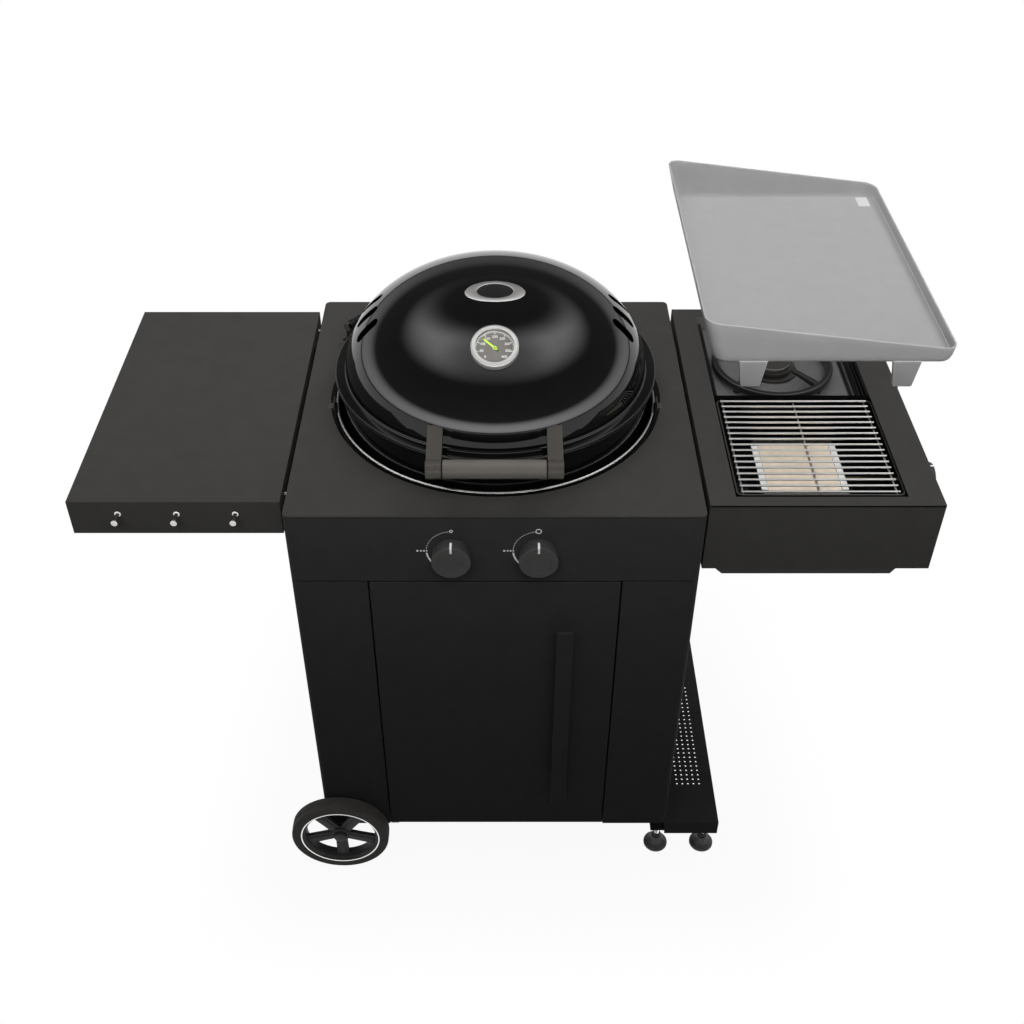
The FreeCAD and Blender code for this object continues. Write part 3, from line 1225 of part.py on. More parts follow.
def side_grid():
    """Grid of round bars along X on three cross rods."""
    x0, x1 = BAY_LEFT + GRID_SIDE_GAP, BAY_RIGHT - GRID_RIGHT_GAP
    y0, y1 = BAY_FRONT + GRID_END_GAP, BAY_BACK - GRID_BACK_GAP
    bar_z = WORK_HEIGHT - GRID_TOP_DOWN - GRID_BAR_R
    pitch = (y1 - y0) / (GRID_BARS - 1)
    bars = [rod(V(x0, y0 + i * pitch, bar_z), V(1, 0, 0), GRID_BAR_R, x1 - x0) for i in range(GRID_BARS)]
    rods = []
    for x in (x0 + ROD_SIDE, (x0 + x1) / 2, x1 - ROD_SIDE):
        length = BAY_BACK - BAY_FRONT - 2 * ROD_END_GAP
        rods.append(rod(V(x, BAY_FRONT + ROD_END_GAP, GRID_ROD_Z), V(0, 1, 0), GRID_ROD_R, length))
    return rods[0].multiFuse(rods[1:] + bars)


IR_TOP = BAY_FLOOR + IR_H
IR_X = BAY_LEFT + IR_LEFT
IR_Y = BAY_FRONT + IR_FRONT


def tile_boxes(grow):
    """A wide and a narrow ceramic tile side by side in the top of the infrared burner."""
    first = IR_X + (IR_W - TILE_LEFT_W - TILE_GAP - TILE_RIGHT_W) / 2
    second = first + TILE_LEFT_W + TILE_GAP
    y0 = IR_Y + (IR_D - TILE_D) / 2
    low = IR_TOP + TILE_PROUD - TILE_T
    return [box(x - grow, x + w + grow, y0 - grow, y0 + TILE_D + grow, low, low + TILE_T)
            for x, w in ((first, TILE_LEFT_W), (second, TILE_RIGHT_W))]


def ir_burner():
    """Steel body of the infrared burner with a seat for the tiles."""
    shape = box(IR_X, IR_X + IR_W, IR_Y, IR_Y + IR_D, BAY_FLOOR, IR_TOP)
    return shape.cut(Part.makeCompound(tile_boxes(SLIDE_FIT)))


def hob_tray():
    """Enamelled tray of the pot burner, with a round hole for the burner."""
    shape = liner(HOB_FRONT, HOB_BACK, HOB_FLOOR)
    hole_r = HOB_BURNER_R + HOB_HOLE_CLEAR
    return shape.cut(rod(HOB_AXIS + V(0, 0, HOB_FLOOR - SHEET), V(0, 0, 1), hole_r, SHEET))


def hob_burner():
    """Pot burner body on the tray, and its cast cap."""
    top = HOB_FLOOR + HOB_BURNER_UP
    body = rod(HOB_AXIS + V(0, 0, HOB_FLOOR - HOB_BURNER_DOWN), V(0, 0, 1), HOB_BURNER_R,
               HOB_BURNER_DOWN + HOB_BURNER_UP)
    flange = rod(HOB_AXIS + V(0, 0, HOB_FLOOR), V(0, 0, 1), HOB_BURNER_FLANGE_R, HOB_BURNER_FLANGE_T)
    cap = rod(HOB_AXIS + V(0, 0, top), V(0, 0, 1), HOB_CAP_R, HOB_CAP_T)
    cap = rounded(cap, HOB_CAP_ROUND, lambda e: abs(e.Vertexes[0].Z - top - HOB_CAP_T) < 1e-6)
    return Part.makeCompound([body.fuse(flange).removeSplitter(), cap])


def pot_stand():
    """Cast ring on four feet with arms towards the burner."""
    low = HOB_FLOOR + POT_RING_UP
    inner = POT_RING_R - POT_RING_W
    top = low + POT_RING_H
    ring = turned_lines([(inner, low), (POT_RING_R, low), (POT_RING_R, top), (inner, top)])
    half = POT_ARM_W / 2
    foot = box(inner, POT_RING_R, -half, half, HOB_FLOOR, low)
    arm = box(POT_ARM_IN_R, POT_RING_R - POT_RING_W / 2, -half, half, low, low + POT_ARM_H)
    arm = arm.cut(box(0, inner - POT_RING_W, -half, half, low, low + POT_ARM_H - POT_ARM_TIP_H))
    shape = ring.multiFuse(around(arm, POT_ARMS, V(0, 0, 0), 45) + around(foot, POT_ARMS, V(0, 0, 0), 45))
    return placed(shape.removeSplitter(), HOB_AXIS)


def side_valves():
    """Valve on the module's right wall for each side burner, with its gas tube."""
    wall = MODULE_RIGHT - SHEET
    pieces = []
    burner_edge = {SIDE_KNOB_FRONT_Y: IR_X + IR_W, SIDE_KNOB_BACK_Y: HOB_AXIS.x}
    hob_body = rod(HOB_AXIS, V(0, 0, 1), HOB_BURNER_R, WORK_HEIGHT)
    for y, edge in burner_edge.items():
        valve = placed(valve_block(), V(wall, y, SIDE_KNOB_Z), V(0, 0, 1), 90)
        tube = rod(V(edge, y, SIDE_KNOB_Z), V(1, 0, 0), SIDE_TUBE_R, wall - VALVE_L - edge).cut(hob_body)
        pieces.append(valve.fuse(tube).removeSplitter())
    return Part.makeCompound(pieces)


def cover_outline(z, left, right, ends, corner):
    """Closed outline of the cover at one height, grown outwards on each side."""
    x0, x1 = -left, COVER_W + right
    y0, y1 = -ends, COVER_D + ends
    c = corner
    s = c * (1 - math.sqrt(0.5))
    edges = [Part.makeLine(V(x0 + c, y0, z), V(x1 - c, y0, z)),
             Part.Arc(V(x1 - c, y0, z), V(x1 - s, y0 + s, z), V(x1, y0 + c, z)).toShape(),
             Part.makeLine(V(x1, y0 + c, z), V(x1, y1 - c, z)),
             Part.Arc(V(x1, y1 - c, z), V(x1 - s, y1 - s, z), V(x1 - c, y1, z)).toShape(),
             Part.makeLine(V(x1 - c, y1, z), V(x0 + c, y1, z)),
             Part.Arc(V(x0 + c, y1, z), V(x0 + s, y1 - s, z), V(x0, y1 - c, z)).toShape(),
             Part.makeLine(V(x0, y1 - c, z), V(x0, y0 + c, z)),
             Part.Arc(V(x0, y0 + c, z), V(x0 + s, y0 + s, z), V(x0 + c, y0, z)).toShape()]
    return Part.Wire(edges)


def cover_tray():
    """Loose cover: a tray with a tall flared left wall, walls that fall to the right and four feet."""
    w, h = COVER_WALL, COVER_LEFT_H
    left, right, ends, corner = COVER_LEFT_FLARE, COVER_RIGHT_FLARE, COVER_END_FLARE, COVER_CORNER
    outer = Part.makeLoft([cover_outline(0, 0, 0, 0, corner),
                           cover_outline(h, left, right, ends, corner)], True, True)
    inner = Part.makeLoft([cover_outline(0, -w, -w, -w, corner - w),
                           cover_outline(h, left - w, right - w, ends - w, corner - w)], True, True)
    inner = inner.cut(box(-COVER_W, 2 * COVER_W, -COVER_D, 2 * COVER_D, 0, w))
    far = COVER_W + right
    near = -left
    above = prism([V(near, -COVER_D, h), V(far, -COVER_D, COVER_RIGHT_H), V(far, -COVER_D, 2 * h),
                   V(near, -COVER_D, 2 * h)], V(0, 3 * COVER_D, 0))
    shape = outer.cut(inner).cut(above)
    feet = []
    for x in (COVER_FOOT_LEFT, COVER_W - COVER_FOOT_RIGHT):
        top, low = COVER_FOOT_TOP_W / 2, COVER_FOOT_LOW_W / 2
        points = [V(x - top, 0, w / 2), V(x + top, 0, w / 2),
                  V(x + low, 0, -COVER_FOOT_H), V(x - low, 0, -COVER_FOOT_H)]
        foot = prism(points, V(0, COVER_FOOT_T, 0))
        feet += [foot, placed(foot, V(0, COVER_D - COVER_FOOT_T, 0))]
    shape = shape.multiFuse(feet).removeSplitter()
    return placed(shape, V(COVER_X, COVER_Y, COVER_Z))


# Everything by name


def all_parts():
    """Every piece by its name."""
    parts = {
        "base_tray": base_tray(),
        "levelling_feet": Part.makeCompound([placed(levelling_foot(), V(x, y, 0)) for x, y in foot_places()]),
        "axle": axle(),
        "left_side_panel": side_panel(-1),
        "right_side_panel": side_panel(1),
        "back_panel": back_panel(),
        "front_left_panel": front_panel(-1),
        "front_right_panel": front_panel(1),
        "control_panel": control_panel(),
        "top_frame": top_frame(),
        "top_plate": top_plate(),
        "kettle_ring": kettle_ring(),
        "kettle_bowl": kettle_bowl(),
        "bowl_brackets": bowl_brackets(),
        "funnel": funnel(),
        "cooking_grate": cooking_grate(),
        "outer_burner": outer_burner(),
        "inner_burner": inner_burner(),
        "burner_support": burner_support(),
        "gas_manifold": gas_manifold(),
        "drip_cup": drip_cup(),
        "lid_hinge_bracket": lid_hinge_bracket(),
        "lid_hinge_pin": lid_hinge_pin(),
        "door_hinge_pins": door_hinge_pins(),
        "shelf_hinge_brackets": Part.makeCompound([shelf_hinge_bracket(y) for y in shelf_hinge_places()]),
        "module_housing": module_housing(),
        "bay_liner": bay_liner(),
        "ir_burner": ir_burner(),
        "ceramic_tiles": Part.makeCompound(tile_boxes(0)),
        "hob_tray": hob_tray(),
        "hob_burner": hob_burner(),
        "side_valves": side_valves(),
        "lid_shell": lid_shell(),
        "lid_hinge_strap": lid_hinge_strap(),
        "lid_handle_arms": lid_handle_arms(),
        "lid_handle_bar": lid_handle_bar(),
        "thermometer_case": thermometer_case(),
        "thermometer_dial": thermometer_dial(),
        "thermometer_glass": thermometer_glass(),
        "thermometer_needle": thermometer_needle(),
        "door_panel": door_panel(),
        "door_handle": door_handle(),
        "shelf_panel": shelf_panel(),
        "tool_hooks": tool_hooks(),
        "side_grid": side_grid(),
        "pot_stand": pot_stand(),
        "cover_tray": cover_tray(),
        "drip_tray": drip_tray(),
    }
    for name, place in wheel_places().items():
        parts[name + "_tyre"] = placed(tyre(), place)
        parts[name + "_hub"] = placed(hub(), place)
    for name, (place, turn) in knob_places().items():
        parts[name + "_knob"] = placed(knob(), place, V(0, 0, 1), turn)
        parts[name + "_stem"] = placed(stem(), place, V(0, 0, 1), turn)
    return parts


os.makedirs("parts", exist_ok=True)
for part_name, part_shape in all_parts().items():
    moved = placed(part_shape, TO_ORIGIN)
    moved.exportStep("parts/" + part_name + ".step")
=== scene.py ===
from math import atan2, cos, degrees, hypot, pi, radians, sin, sqrt, tan

import bmesh
import bpy
from mathutils import Matrix, Vector


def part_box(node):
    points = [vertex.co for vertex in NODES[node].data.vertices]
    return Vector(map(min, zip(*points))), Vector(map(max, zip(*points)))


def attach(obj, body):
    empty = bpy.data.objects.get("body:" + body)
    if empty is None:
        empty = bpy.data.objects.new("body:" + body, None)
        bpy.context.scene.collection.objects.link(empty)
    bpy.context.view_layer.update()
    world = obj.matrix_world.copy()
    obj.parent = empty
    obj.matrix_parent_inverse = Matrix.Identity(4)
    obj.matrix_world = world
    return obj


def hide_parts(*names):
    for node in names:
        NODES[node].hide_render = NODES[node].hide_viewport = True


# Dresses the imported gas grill: camera, light, materials and the detailed pieces that stand for
# plain CAD nodes. The part's frame is in metres: +X right, +Y back, +Z up. Sizes written below are in
# millimetres, and MM or a frame made by facing brings them to metres. Materials, lamps and the floor
# have their sizes in metres.

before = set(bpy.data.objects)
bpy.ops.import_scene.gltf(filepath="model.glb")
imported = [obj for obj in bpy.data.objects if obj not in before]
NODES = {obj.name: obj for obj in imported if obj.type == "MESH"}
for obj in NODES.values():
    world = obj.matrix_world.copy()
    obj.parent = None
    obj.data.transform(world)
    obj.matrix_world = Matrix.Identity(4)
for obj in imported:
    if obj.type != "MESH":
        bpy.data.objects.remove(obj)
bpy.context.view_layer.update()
MM = 0.001
SHARP = radians(35)
TINY = 1e-7
STRAIGHT = pi - 1e-3
NEARLY_HALF = 0.49
RIGHT, BACK, UP = (1, 0, 0), (0, 1, 0), (0, 0, 1)

# Where the main pieces are, read from the frame
PLATE_LO, PLATE_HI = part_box("top_plate")
PLATE_TOP = PLATE_HI.z
BOWL_LO, BOWL_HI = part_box("kettle_bowl")
KETTLE = Vector(((BOWL_LO.x + BOWL_HI.x) / 2, (BOWL_LO.y + BOWL_HI.y) / 2, 0))


# Outlines


def rect(x0, x1, y0, y1):
    """Corners of a rectangle; for lathe the half section of a cylinder or a ring."""
    return [(x0, y0), (x1, y0), (x1, y1), (x0, y1)]


def arc(radius, first, last, steps, middle=(0.0, 0.0)):
    """Points on an arc, from one angle in degrees to another."""
    angles = [radians(first + (last - first) * k / steps) for k in range(steps + 1)]
    return [(middle[0] + radius * cos(a), middle[1] + radius * sin(a)) for a in angles]


def circle(radius, count, middle=(0.0, 0.0)):
    """Points all round a circle."""
    return arc(radius, 0, 360, count, middle)[:-1]


def mirrored(points):
    """A half outline and its mirror image across X, as one loop."""
    return points + [(x, -y, *rest) for x, y, *rest in points[::-1]]


def obround(length, width):
    """Outline of a slot with round ends, along X."""
    half, r = (length - width) / 2, width / 2
    return arc(r, -90, 90, 10, (half, 0)) + arc(r, 90, 270, 10, (-half, 0))


def loop_outline(x0, x1, y0, y1, radius, steps=8):
    """A rectangle with round corners, as a loop of points."""
    points = []
    for cx, cy, first in ((x1 - radius, y1 - radius, 0), (x0 + radius, y1 - radius, 90),
                          (x0 + radius, y0 + radius, 180), (x1 - radius, y0 + radius, 270)):
        points += arc(radius, first, first + 90, steps, (cx, cy))
    return points


def rounded(points, radius, steps, closed=False):
    """Replace the corners of a polyline by arcs; a point may carry its own radius as a third value."""
    count = len(points)
    path = []
    for i, point in enumerate(points):
        here = Vector(point[:2])
        r = point[2] if len(point) > 2 else radius
        if (not closed and i in (0, count - 1)) or r <= 0:
            path.append(here)
            continue
        before = Vector(points[i - 1][:2]) - here
        after = Vector(points[(i + 1) % count][:2]) - here
        angle = before.angle(after)
        if angle > STRAIGHT:
            path.append(here)
            continue
        cut = min(r / tan(angle / 2), before.length * NEARLY_HALF, after.length * NEARLY_HALF)
        r = cut * tan(angle / 2)
        middle = here + (before.normalized() + after.normalized()).normalized() * (r / sin(angle / 2))
        first = here + before.normalized() * cut - middle
        last = here + after.normalized() * cut - middle
        sweep = first.angle_signed(last)
        for k in range(steps + 1):
            turn = -sweep * k / steps
            c, s = cos(turn), sin(turn)
            path.append(middle + Vector((first.x * c - first.y * s, first.x * s + first.y * c)))
    return [tuple(p) for p in path]


# Small helpers for meshes


def new_object(name, data):
    """An object of the scene that shows some data."""
    obj = bpy.data.objects.new(name, data)
    bpy.context.scene.collection.objects.link(obj)
    return obj


def finish_mesh(name, bm, material, matrix=None):
    """Turn a bmesh into a shaded object of the scene."""
    bmesh.ops.recalc_face_normals(bm, faces=bm.faces)
    if matrix is not None:
        bmesh.ops.transform(bm, matrix=matrix, verts=bm.verts)
    mesh = bpy.data.meshes.new(name)
    bm.to_mesh(mesh)
    bm.free()
    mesh.polygons.foreach_set("use_smooth", [True] * len(mesh.polygons))
    mesh.set_sharp_from_angle(angle=SHARP)
    mesh.materials.append(material)
    return new_object(name, mesh)


def skin(bm, rings, closed=False):
    """Faces from ring to ring, row by row; a ring of one point closes to a tip."""
    faces = []
    for a, b in zip(rings, rings[1:] + rings[:1] if closed else rings[1:]):
        count = max(len(a), len(b))
        for i in range(count):
            j = (i + 1) % count
            corners = dict.fromkeys((a[i % len(a)], a[j % len(a)], b[j % len(b)], b[i % len(b)]))
            if len(corners) > 2:
                faces.append(bm.faces.new(list(corners)))
    return faces


def lathe(name, profile, material, matrix, segments, closed=False):
    """Turn (radius, height) pairs about Z."""
    bm = bmesh.new()
    rings = []
    for r, h in profile:
        spots = circle(r, segments) if r > TINY else [(0, 0)]
        rings.append([bm.verts.new((x, y, h)) for x, y in spots])
    skin(bm, rings, closed)
    return finish_mesh(name, bm, material, matrix)


def slab(name, outline, low, high, material, bevel, matrix):
    """A flat outline in XY pushed up from low to high, with its rim edges bevelled."""
    bm = bmesh.new()
    face = bm.faces.new([bm.verts.new((x, y, low)) for x, y in outline])
    bmesh.ops.recalc_face_normals(bm, faces=bm.faces)
    pushed = bmesh.ops.extrude_face_region(bm, geom=[face])
    verts = [g for g in pushed["geom"] if isinstance(g, bmesh.types.BMVert)]
    bmesh.ops.translate(bm, verts=verts, vec=(0, 0, high - low))
    if bevel > 0:
        rim = [e for e in bm.edges if abs(e.verts[0].co.z - e.verts[1].co.z) < TINY]
        bmesh.ops.bevel(bm, geom=rim, offset=bevel, segments=3, profile=0.5, affect="EDGES")
    return finish_mesh(name, bm, material, matrix)


def loft(name, loops, material, matrix, ends=True):
    """Skin a row of loops with the same number of points."""
    bm = bmesh.new()
    rings = [[bm.verts.new(point) for point in loop] for loop in loops]
    skin(bm, rings)
    if ends:
        bm.faces.new(rings[0][::-1])
        bm.faces.new(rings[-1])
    return finish_mesh(name, bm, material, matrix)


def block(name, low, high, material, bevel, steps, matrix):
    """A box with all its edges rounded."""
    bm = bmesh.new()
    bmesh.ops.create_cube(bm, size=1.0)
    low, high = Vector(low), Vector(high)
    size = high - low
    for v in bm.verts:
        v.co = Vector((v.co.x * size.x, v.co.y * size.y, v.co.z * size.z)) + (low + high) / 2
    bmesh.ops.bevel(bm, geom=bm.edges[:], offset=bevel, segments=steps, profile=0.5, affect="EDGES")
    return finish_mesh(name, bm, material, matrix)


def rod(name, start, end, radius, material):
    """A round bar with softly rounded ends."""
    start, end = Vector(start), Vector(end)
    length = (end - start).length
    side = rounded(rect(0, radius, 0, length), radius / 2, 4)
    turn = Vector(UP).rotation_difference(end - start).to_matrix().to_4x4()
    return lathe(name, side, material, Matrix.Translation(start) @ turn, 20)


def joined(name, pieces):
    """Join several pieces into one object."""
    base = pieces[0]
    bm = bmesh.new()
    materials = []
    for piece in pieces:
        offset = len(bm.faces)
        bm.from_mesh(piece.data)
        bm.faces.ensure_lookup_table()
        for face in bm.faces[offset:]:
            material = piece.data.materials[face.material_index]
            if material not in materials:
                materials.append(material)
            face.material_index = materials.index(material)
    mesh = bpy.data.meshes.new(name)
    bm.to_mesh(mesh)
    bm.free()
    for material in materials:
        mesh.materials.append(material)
    mesh.set_sharp_from_angle(angle=SHARP)
    for piece in pieces[1:]:
        bpy.data.objects.remove(piece)
    base.data = mesh
    base.name = name
    return base


def evaluated_mesh(carrier):
    """The mesh that an object shows with its modifiers or its curve."""
    bpy.context.view_layer.update()
    return bpy.data.meshes.new_from_object(carrier.evaluated_get(bpy.context.evaluated_depsgraph_get()))


def filled_curve(curve):
    """What a curve draws, as a bmesh."""
    carrier = new_object(curve.name, curve)
    mesh = evaluated_mesh(carrier)
    bpy.data.objects.remove(carrier)
    bm = bmesh.new()
    bm.from_mesh(mesh)
    bpy.data.meshes.remove(mesh)
    return bm


def cut_away(piece, cutters):
    """Cut solids out of a piece for good and delete them."""
    for cutter in cutters:
        modifier = piece.modifiers.new("cut", "BOOLEAN")
        modifier.operation = "DIFFERENCE"
        modifier.solver = "EXACT"
        modifier.object = cutter
    mesh = evaluated_mesh(piece)
    piece.modifiers.clear()
    piece.data = mesh
    mesh.set_sharp_from_angle(angle=SHARP)
    for cutter in cutters:
        bpy.data.objects.remove(cutter)


def text_piece(name, words, size, material, matrix, thickness):
    """Flat raised figures, as printed on a dial."""
    curve = bpy.data.curves.new(name, "FONT")
    curve.body = words
    curve.size = size
    curve.align_x = "CENTER"
    curve.align_y = "CENTER"
    curve.extrude = thickness / 2
    return finish_mesh(name, filled_curve(curve), material, matrix)


def plate_with_holes(name, outer, holes, low, high, material, bevel, matrix):
    """A flat plate with openings, its edges softened."""
    curve = bpy.data.curves.new(name, "CURVE")
    curve.dimensions = "2D"
    curve.fill_mode = "BOTH"
    curve.extrude = (high - low) / 2 - bevel
    curve.bevel_depth = bevel
    curve.bevel_resolution = 2
    for loop in [outer, *holes]:
        spline = curve.splines.new("POLY")
        spline.points.add(len(loop) - 1)
        for point, co in zip(spline.points, loop):
            point.co = (co[0], co[1], 0, 1)
        spline.use_cyclic_u = True
    bm = filled_curve(curve)
    bmesh.ops.remove_doubles(bm, verts=bm.verts, dist=1e-4)
    bmesh.ops.translate(bm, verts=bm.verts, vec=(0, 0, (low + high) / 2))
    return finish_mesh(name, bm, material, matrix)


def dress(piece, body, slot, *nodes):
    """Let a piece ride on a body and stand for CAD nodes; the slot is not used."""
    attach(piece, body)
    if nodes:
        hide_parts(*nodes)


# Materials


def node_of(tree, kind, **values):
    """Add a shader node of a kind and set its plain attributes."""
    node = tree.nodes.new("ShaderNode" + kind)
    for key, value in values.items():
        setattr(node, key, value)
    return node


def fill(node, **values):
    """Set a node's inputs; an underscore in a name stands for a blank."""
    for key, value in values.items():
        node.inputs[key.replace("_", " ")].default_value = value


def remap(tree, value, smooth=False, **limits):
    """A value brought from one range to another."""
    node = node_of(tree, "MapRange", interpolation_type="SMOOTHSTEP" if smooth else "LINEAR")
    fill(node, **limits)
    tree.links.new(value, node.inputs["Value"])
    return node.outputs["Result"]


def new_material(name):
    """A material and its node tree."""
    material = bpy.data.materials.new(name)
    material.use_nodes = True
    return material, material.node_tree


SOFT_DEPTH = 0.012


def surface(name, colour, roughness, metallic=0.0, subsurface=0.0, mottle=0.08, mottle_scale=30.0, grain=0.1,
            grain_scale=700.0, rough_spread=0.05, stretch=(1, 1, 1), specular=0.5, coat=0.0,
            coat_roughness=0.05, depth=0.0002):
    """A procedural surface: mottled colour, uneven roughness and a fine bump."""
    material, tree = new_material(name)
    shader = tree.nodes["Principled BSDF"]
    fill(shader, Metallic=metallic, Subsurface_Weight=subsurface, Subsurface_Radius=(1, 1, 1),
         Subsurface_Scale=SOFT_DEPTH, Specular_IOR_Level=specular, Coat_Weight=coat,
         Coat_Roughness=coat_roughness)
    coords = node_of(tree, "TexCoord")
    mapping = node_of(tree, "Mapping")
    fill(mapping, Scale=stretch)
    tree.links.new(coords.outputs["Object"], mapping.inputs["Vector"])
    broad = node_of(tree, "TexNoise")
    fill(broad, Scale=mottle_scale, Detail=4.0)
    fine = node_of(tree, "TexNoise")
    fill(fine, Scale=grain_scale, Detail=2.0)
    for noise in (broad, fine):
        tree.links.new(mapping.outputs["Vector"], noise.inputs["Vector"])
    ramp = node_of(tree, "ValToRGB")
    for element, place, share in zip(ramp.color_ramp.elements, (0.3, 0.7), (1 - mottle, 1 + mottle)):
        element.position = place
        element.color = (*[min(1.0, c * share) for c in colour], 1)
    tree.links.new(broad.outputs["Fac"], ramp.inputs["Fac"])
    tree.links.new(ramp.outputs["Color"], shader.inputs["Base Color"])
    uneven = remap(tree, fine.outputs["Fac"], To_Min=max(0.0, roughness - rough_spread),
                   To_Max=min(1.0, roughness + rough_spread))
    tree.links.new(uneven, shader.inputs["Roughness"])
    bump = node_of(tree, "Bump")
    fill(bump, Strength=grain, Distance=depth)
    tree.links.new(fine.outputs["Fac"], bump.inputs["Height"])
    tree.links.new(bump.outputs["Normal"], shader.inputs["Normal"])
    return material


WORKTOP = surface("worktop_paint", (0.046, 0.0448, 0.0420), 0.55, specular=0.06, grain=0.25, grain_scale=2200,
                  mottle=0.05)
CABINET = surface("cabinet_paint", (0.0420, 0.0420, 0.0418), 0.6, specular=0.02, grain=0.25, grain_scale=2200,
                  mottle=0.05)
ENAMEL = surface("black_enamel", (0.0035, 0.0035, 0.0036), 0.07, rough_spread=0.015, grain=0.02,
                 grain_scale=260, mottle=0.1, specular=0.42)
GREY_ENAMEL = surface("grey_enamel", (0.095, 0.095, 0.096), 0.24, grain=0.05, grain_scale=400, coat=0.3)
BLACK_PAINT = surface("black_paint", (0.010, 0.010, 0.010), 0.5, specular=0.2, grain=0.2, grain_scale=1500)
STAINLESS = surface("stainless", (0.60, 0.585, 0.56), 0.26, metallic=1.0, stretch=(8, 260, 260), mottle=0.06,
                    mottle_scale=6, grain=0.06, grain_scale=20)
WIRE = surface("grid_wire", (0.74, 0.73, 0.71), 0.3, metallic=1.0, grain=0.0, mottle=0.02, rough_spread=0.0)
PLATED = surface("plated_steel", (0.66, 0.65, 0.63), 0.2, metallic=1.0, grain=0.03, mottle=0.04)
BRONZE = surface("bronze_metal", (0.112, 0.103, 0.092), 0.34, specular=0.2, mottle=0.06, grain_scale=1500)
# Darker copy of the bronze: on the lid handle's arms it is painted shade; on the ring's clips it is their
# colour
DARK_BRONZE = surface("dark_bronze", (0.052, 0.0475, 0.042), 0.4, specular=0.3, mottle=0.06, grain_scale=1500)
CAST = surface("burner_metal", (0.15, 0.145, 0.14), 0.5, metallic=1.0, grain=0.3, grain_scale=900)
BRASS = surface("valve_brass", (0.16, 0.13, 0.075), 0.5, metallic=1.0, grain=0.08)
IRON = surface("black_iron", (0.008, 0.008, 0.008), 0.3, grain=0.4, grain_scale=1100, depth=0.0004, coat=0.25,
               coat_roughness=0.3)
RUBBER = surface("tyre_rubber", (0.080, 0.076, 0.071), 0.7, specular=0.15, grain=0.35, grain_scale=1400,
                 mottle=0.12)
HUB_PLASTIC = surface("hub_plastic", (0.042, 0.042, 0.042), 0.5, specular=0.2, grain=0.25, grain_scale=1800)
KNOB_PLASTIC = surface("knob_plastic", (0.054, 0.053, 0.052), 0.45, specular=0.15, grain=0.2,
                       grain_scale=2600)
FOOT_PLASTIC = surface("foot_plastic", (0.022, 0.022, 0.021), 0.55, grain=0.3, grain_scale=1500)
TILE = surface("tile_ceramic", (0.93, 0.80, 0.64), 0.85, grain=0.4, grain_scale=900, mottle_scale=60)
GASKET = surface("gasket_fibre", (0.94, 0.93, 0.91), 0.9, grain=0.5, mottle=0.06)
DIAL = surface("dial_paint", (0.135, 0.122, 0.111), 0.6)
NEEDLE = surface("needle_paint", (0.60, 0.92, 0.05), 0.5, grain=0.05)
PRINT = surface("white_print", (0.92, 0.92, 0.91), 0.6, mottle=0.03)
COVER = surface("cover_plastic", (0.325, 0.325, 0.325), 0.5, subsurface=1.0, specular=0.2, grain=0.15,
                grain_scale=1600, mottle=0.02)
BEZEL = surface("bezel_metal", (0.72, 0.71, 0.70), 0.5, metallic=1.0, grain=0.04, mottle=0.05)
RING_LINE = surface("wheel_line", (0.84, 0.84, 0.83), 0.3, metallic=1.0, grain=0.05, mottle=0.03)
LABEL = surface("pale_label", (0.56, 0.56, 0.55), 0.6, mottle=0.03)
# Dead black without gloss: the black edge of the grill's recess, and painted shade in the gap under the
# fascia and along the module's seam
BLACK_AND_SHADE = surface("black_and_painted_shade", (0.003, 0.003, 0.003), 0.9, specular=0.0, grain=0.0)


def clear_glass():
    """Thin clear glass of the thermometer."""
    material, tree = new_material("clear_glass")
    fill(tree.nodes["Principled BSDF"], Transmission_Weight=1.0, Roughness=0.02, IOR=1.2,
         Base_Color=(0.97, 0.98, 0.98, 1))
    return material


GLASS = clear_glass()
# Nodes that no dressed piece stands for
PAINTED_NODES = [
    (CABINET, "base_tray left_side_panel right_side_panel back_panel front_left_panel front_right_panel"),
    (CABINET, "control_panel door_panel door_handle"),
    (WORKTOP, "top_plate shelf_panel module_housing"),
    (BLACK_PAINT, "top_frame bowl_brackets drip_tray lid_hinge_bracket lid_hinge_strap"),
    (ENAMEL, "funnel drip_cup bay_liner kettle_bowl"),
    (GREY_ENAMEL, "hob_tray"),
    (STAINLESS, "cooking_grate outer_burner inner_burner burner_support"),
    (PLATED, "axle door_hinge_pins shelf_hinge_brackets lid_hinge_pin"),
    (PLATED, "inner_burner_stem outer_burner_stem side_grill_stem side_hob_stem"),
    (BRASS, "gas_manifold side_valves"),
    (CAST, "hob_burner"),
    (GLASS, "thermometer_glass"),
]
for node_material, node_names in PAINTED_NODES:
    for node_name in node_names.split():
        for material_slot in NODES[node_name].material_slots:
            material_slot.material = node_material


# Frames in millimetres: right of the cabinet's middle, behind its front, above the floor

CENTRE_X = (PLATE_LO.x + PLATE_HI.x) / 2
FRONT_Y = PLATE_LO.y


def at(x, y, z):
    """A place of the scene from millimetres in the cabinet's own directions."""
    return Vector((CENTRE_X + x * MM, FRONT_Y + y * MM, z * MM))


def facing(spot, right=RIGHT, up=BACK):
    """A frame in millimetres at a spot, with its own X and Y along two given directions."""
    right, up = Vector(right).normalized(), Vector(up).normalized()
    turn = Matrix((right, up, right.cross(up))).transposed().to_4x4()
    return Matrix.Translation(spot) @ turn @ Matrix.Scale(MM, 4)


def middle_of(node):
    """Centre and half size of a CAD node."""
    low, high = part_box(node)
    return (low + high) / 2, (high - low) / 2


CABINET_FRAME = facing(at(0, 0, 0))
PART_FRAME = Matrix.Scale(MM, 4)
TOP = PLATE_TOP / MM


# Lid: enamelled dome with a rolled brim and air vents

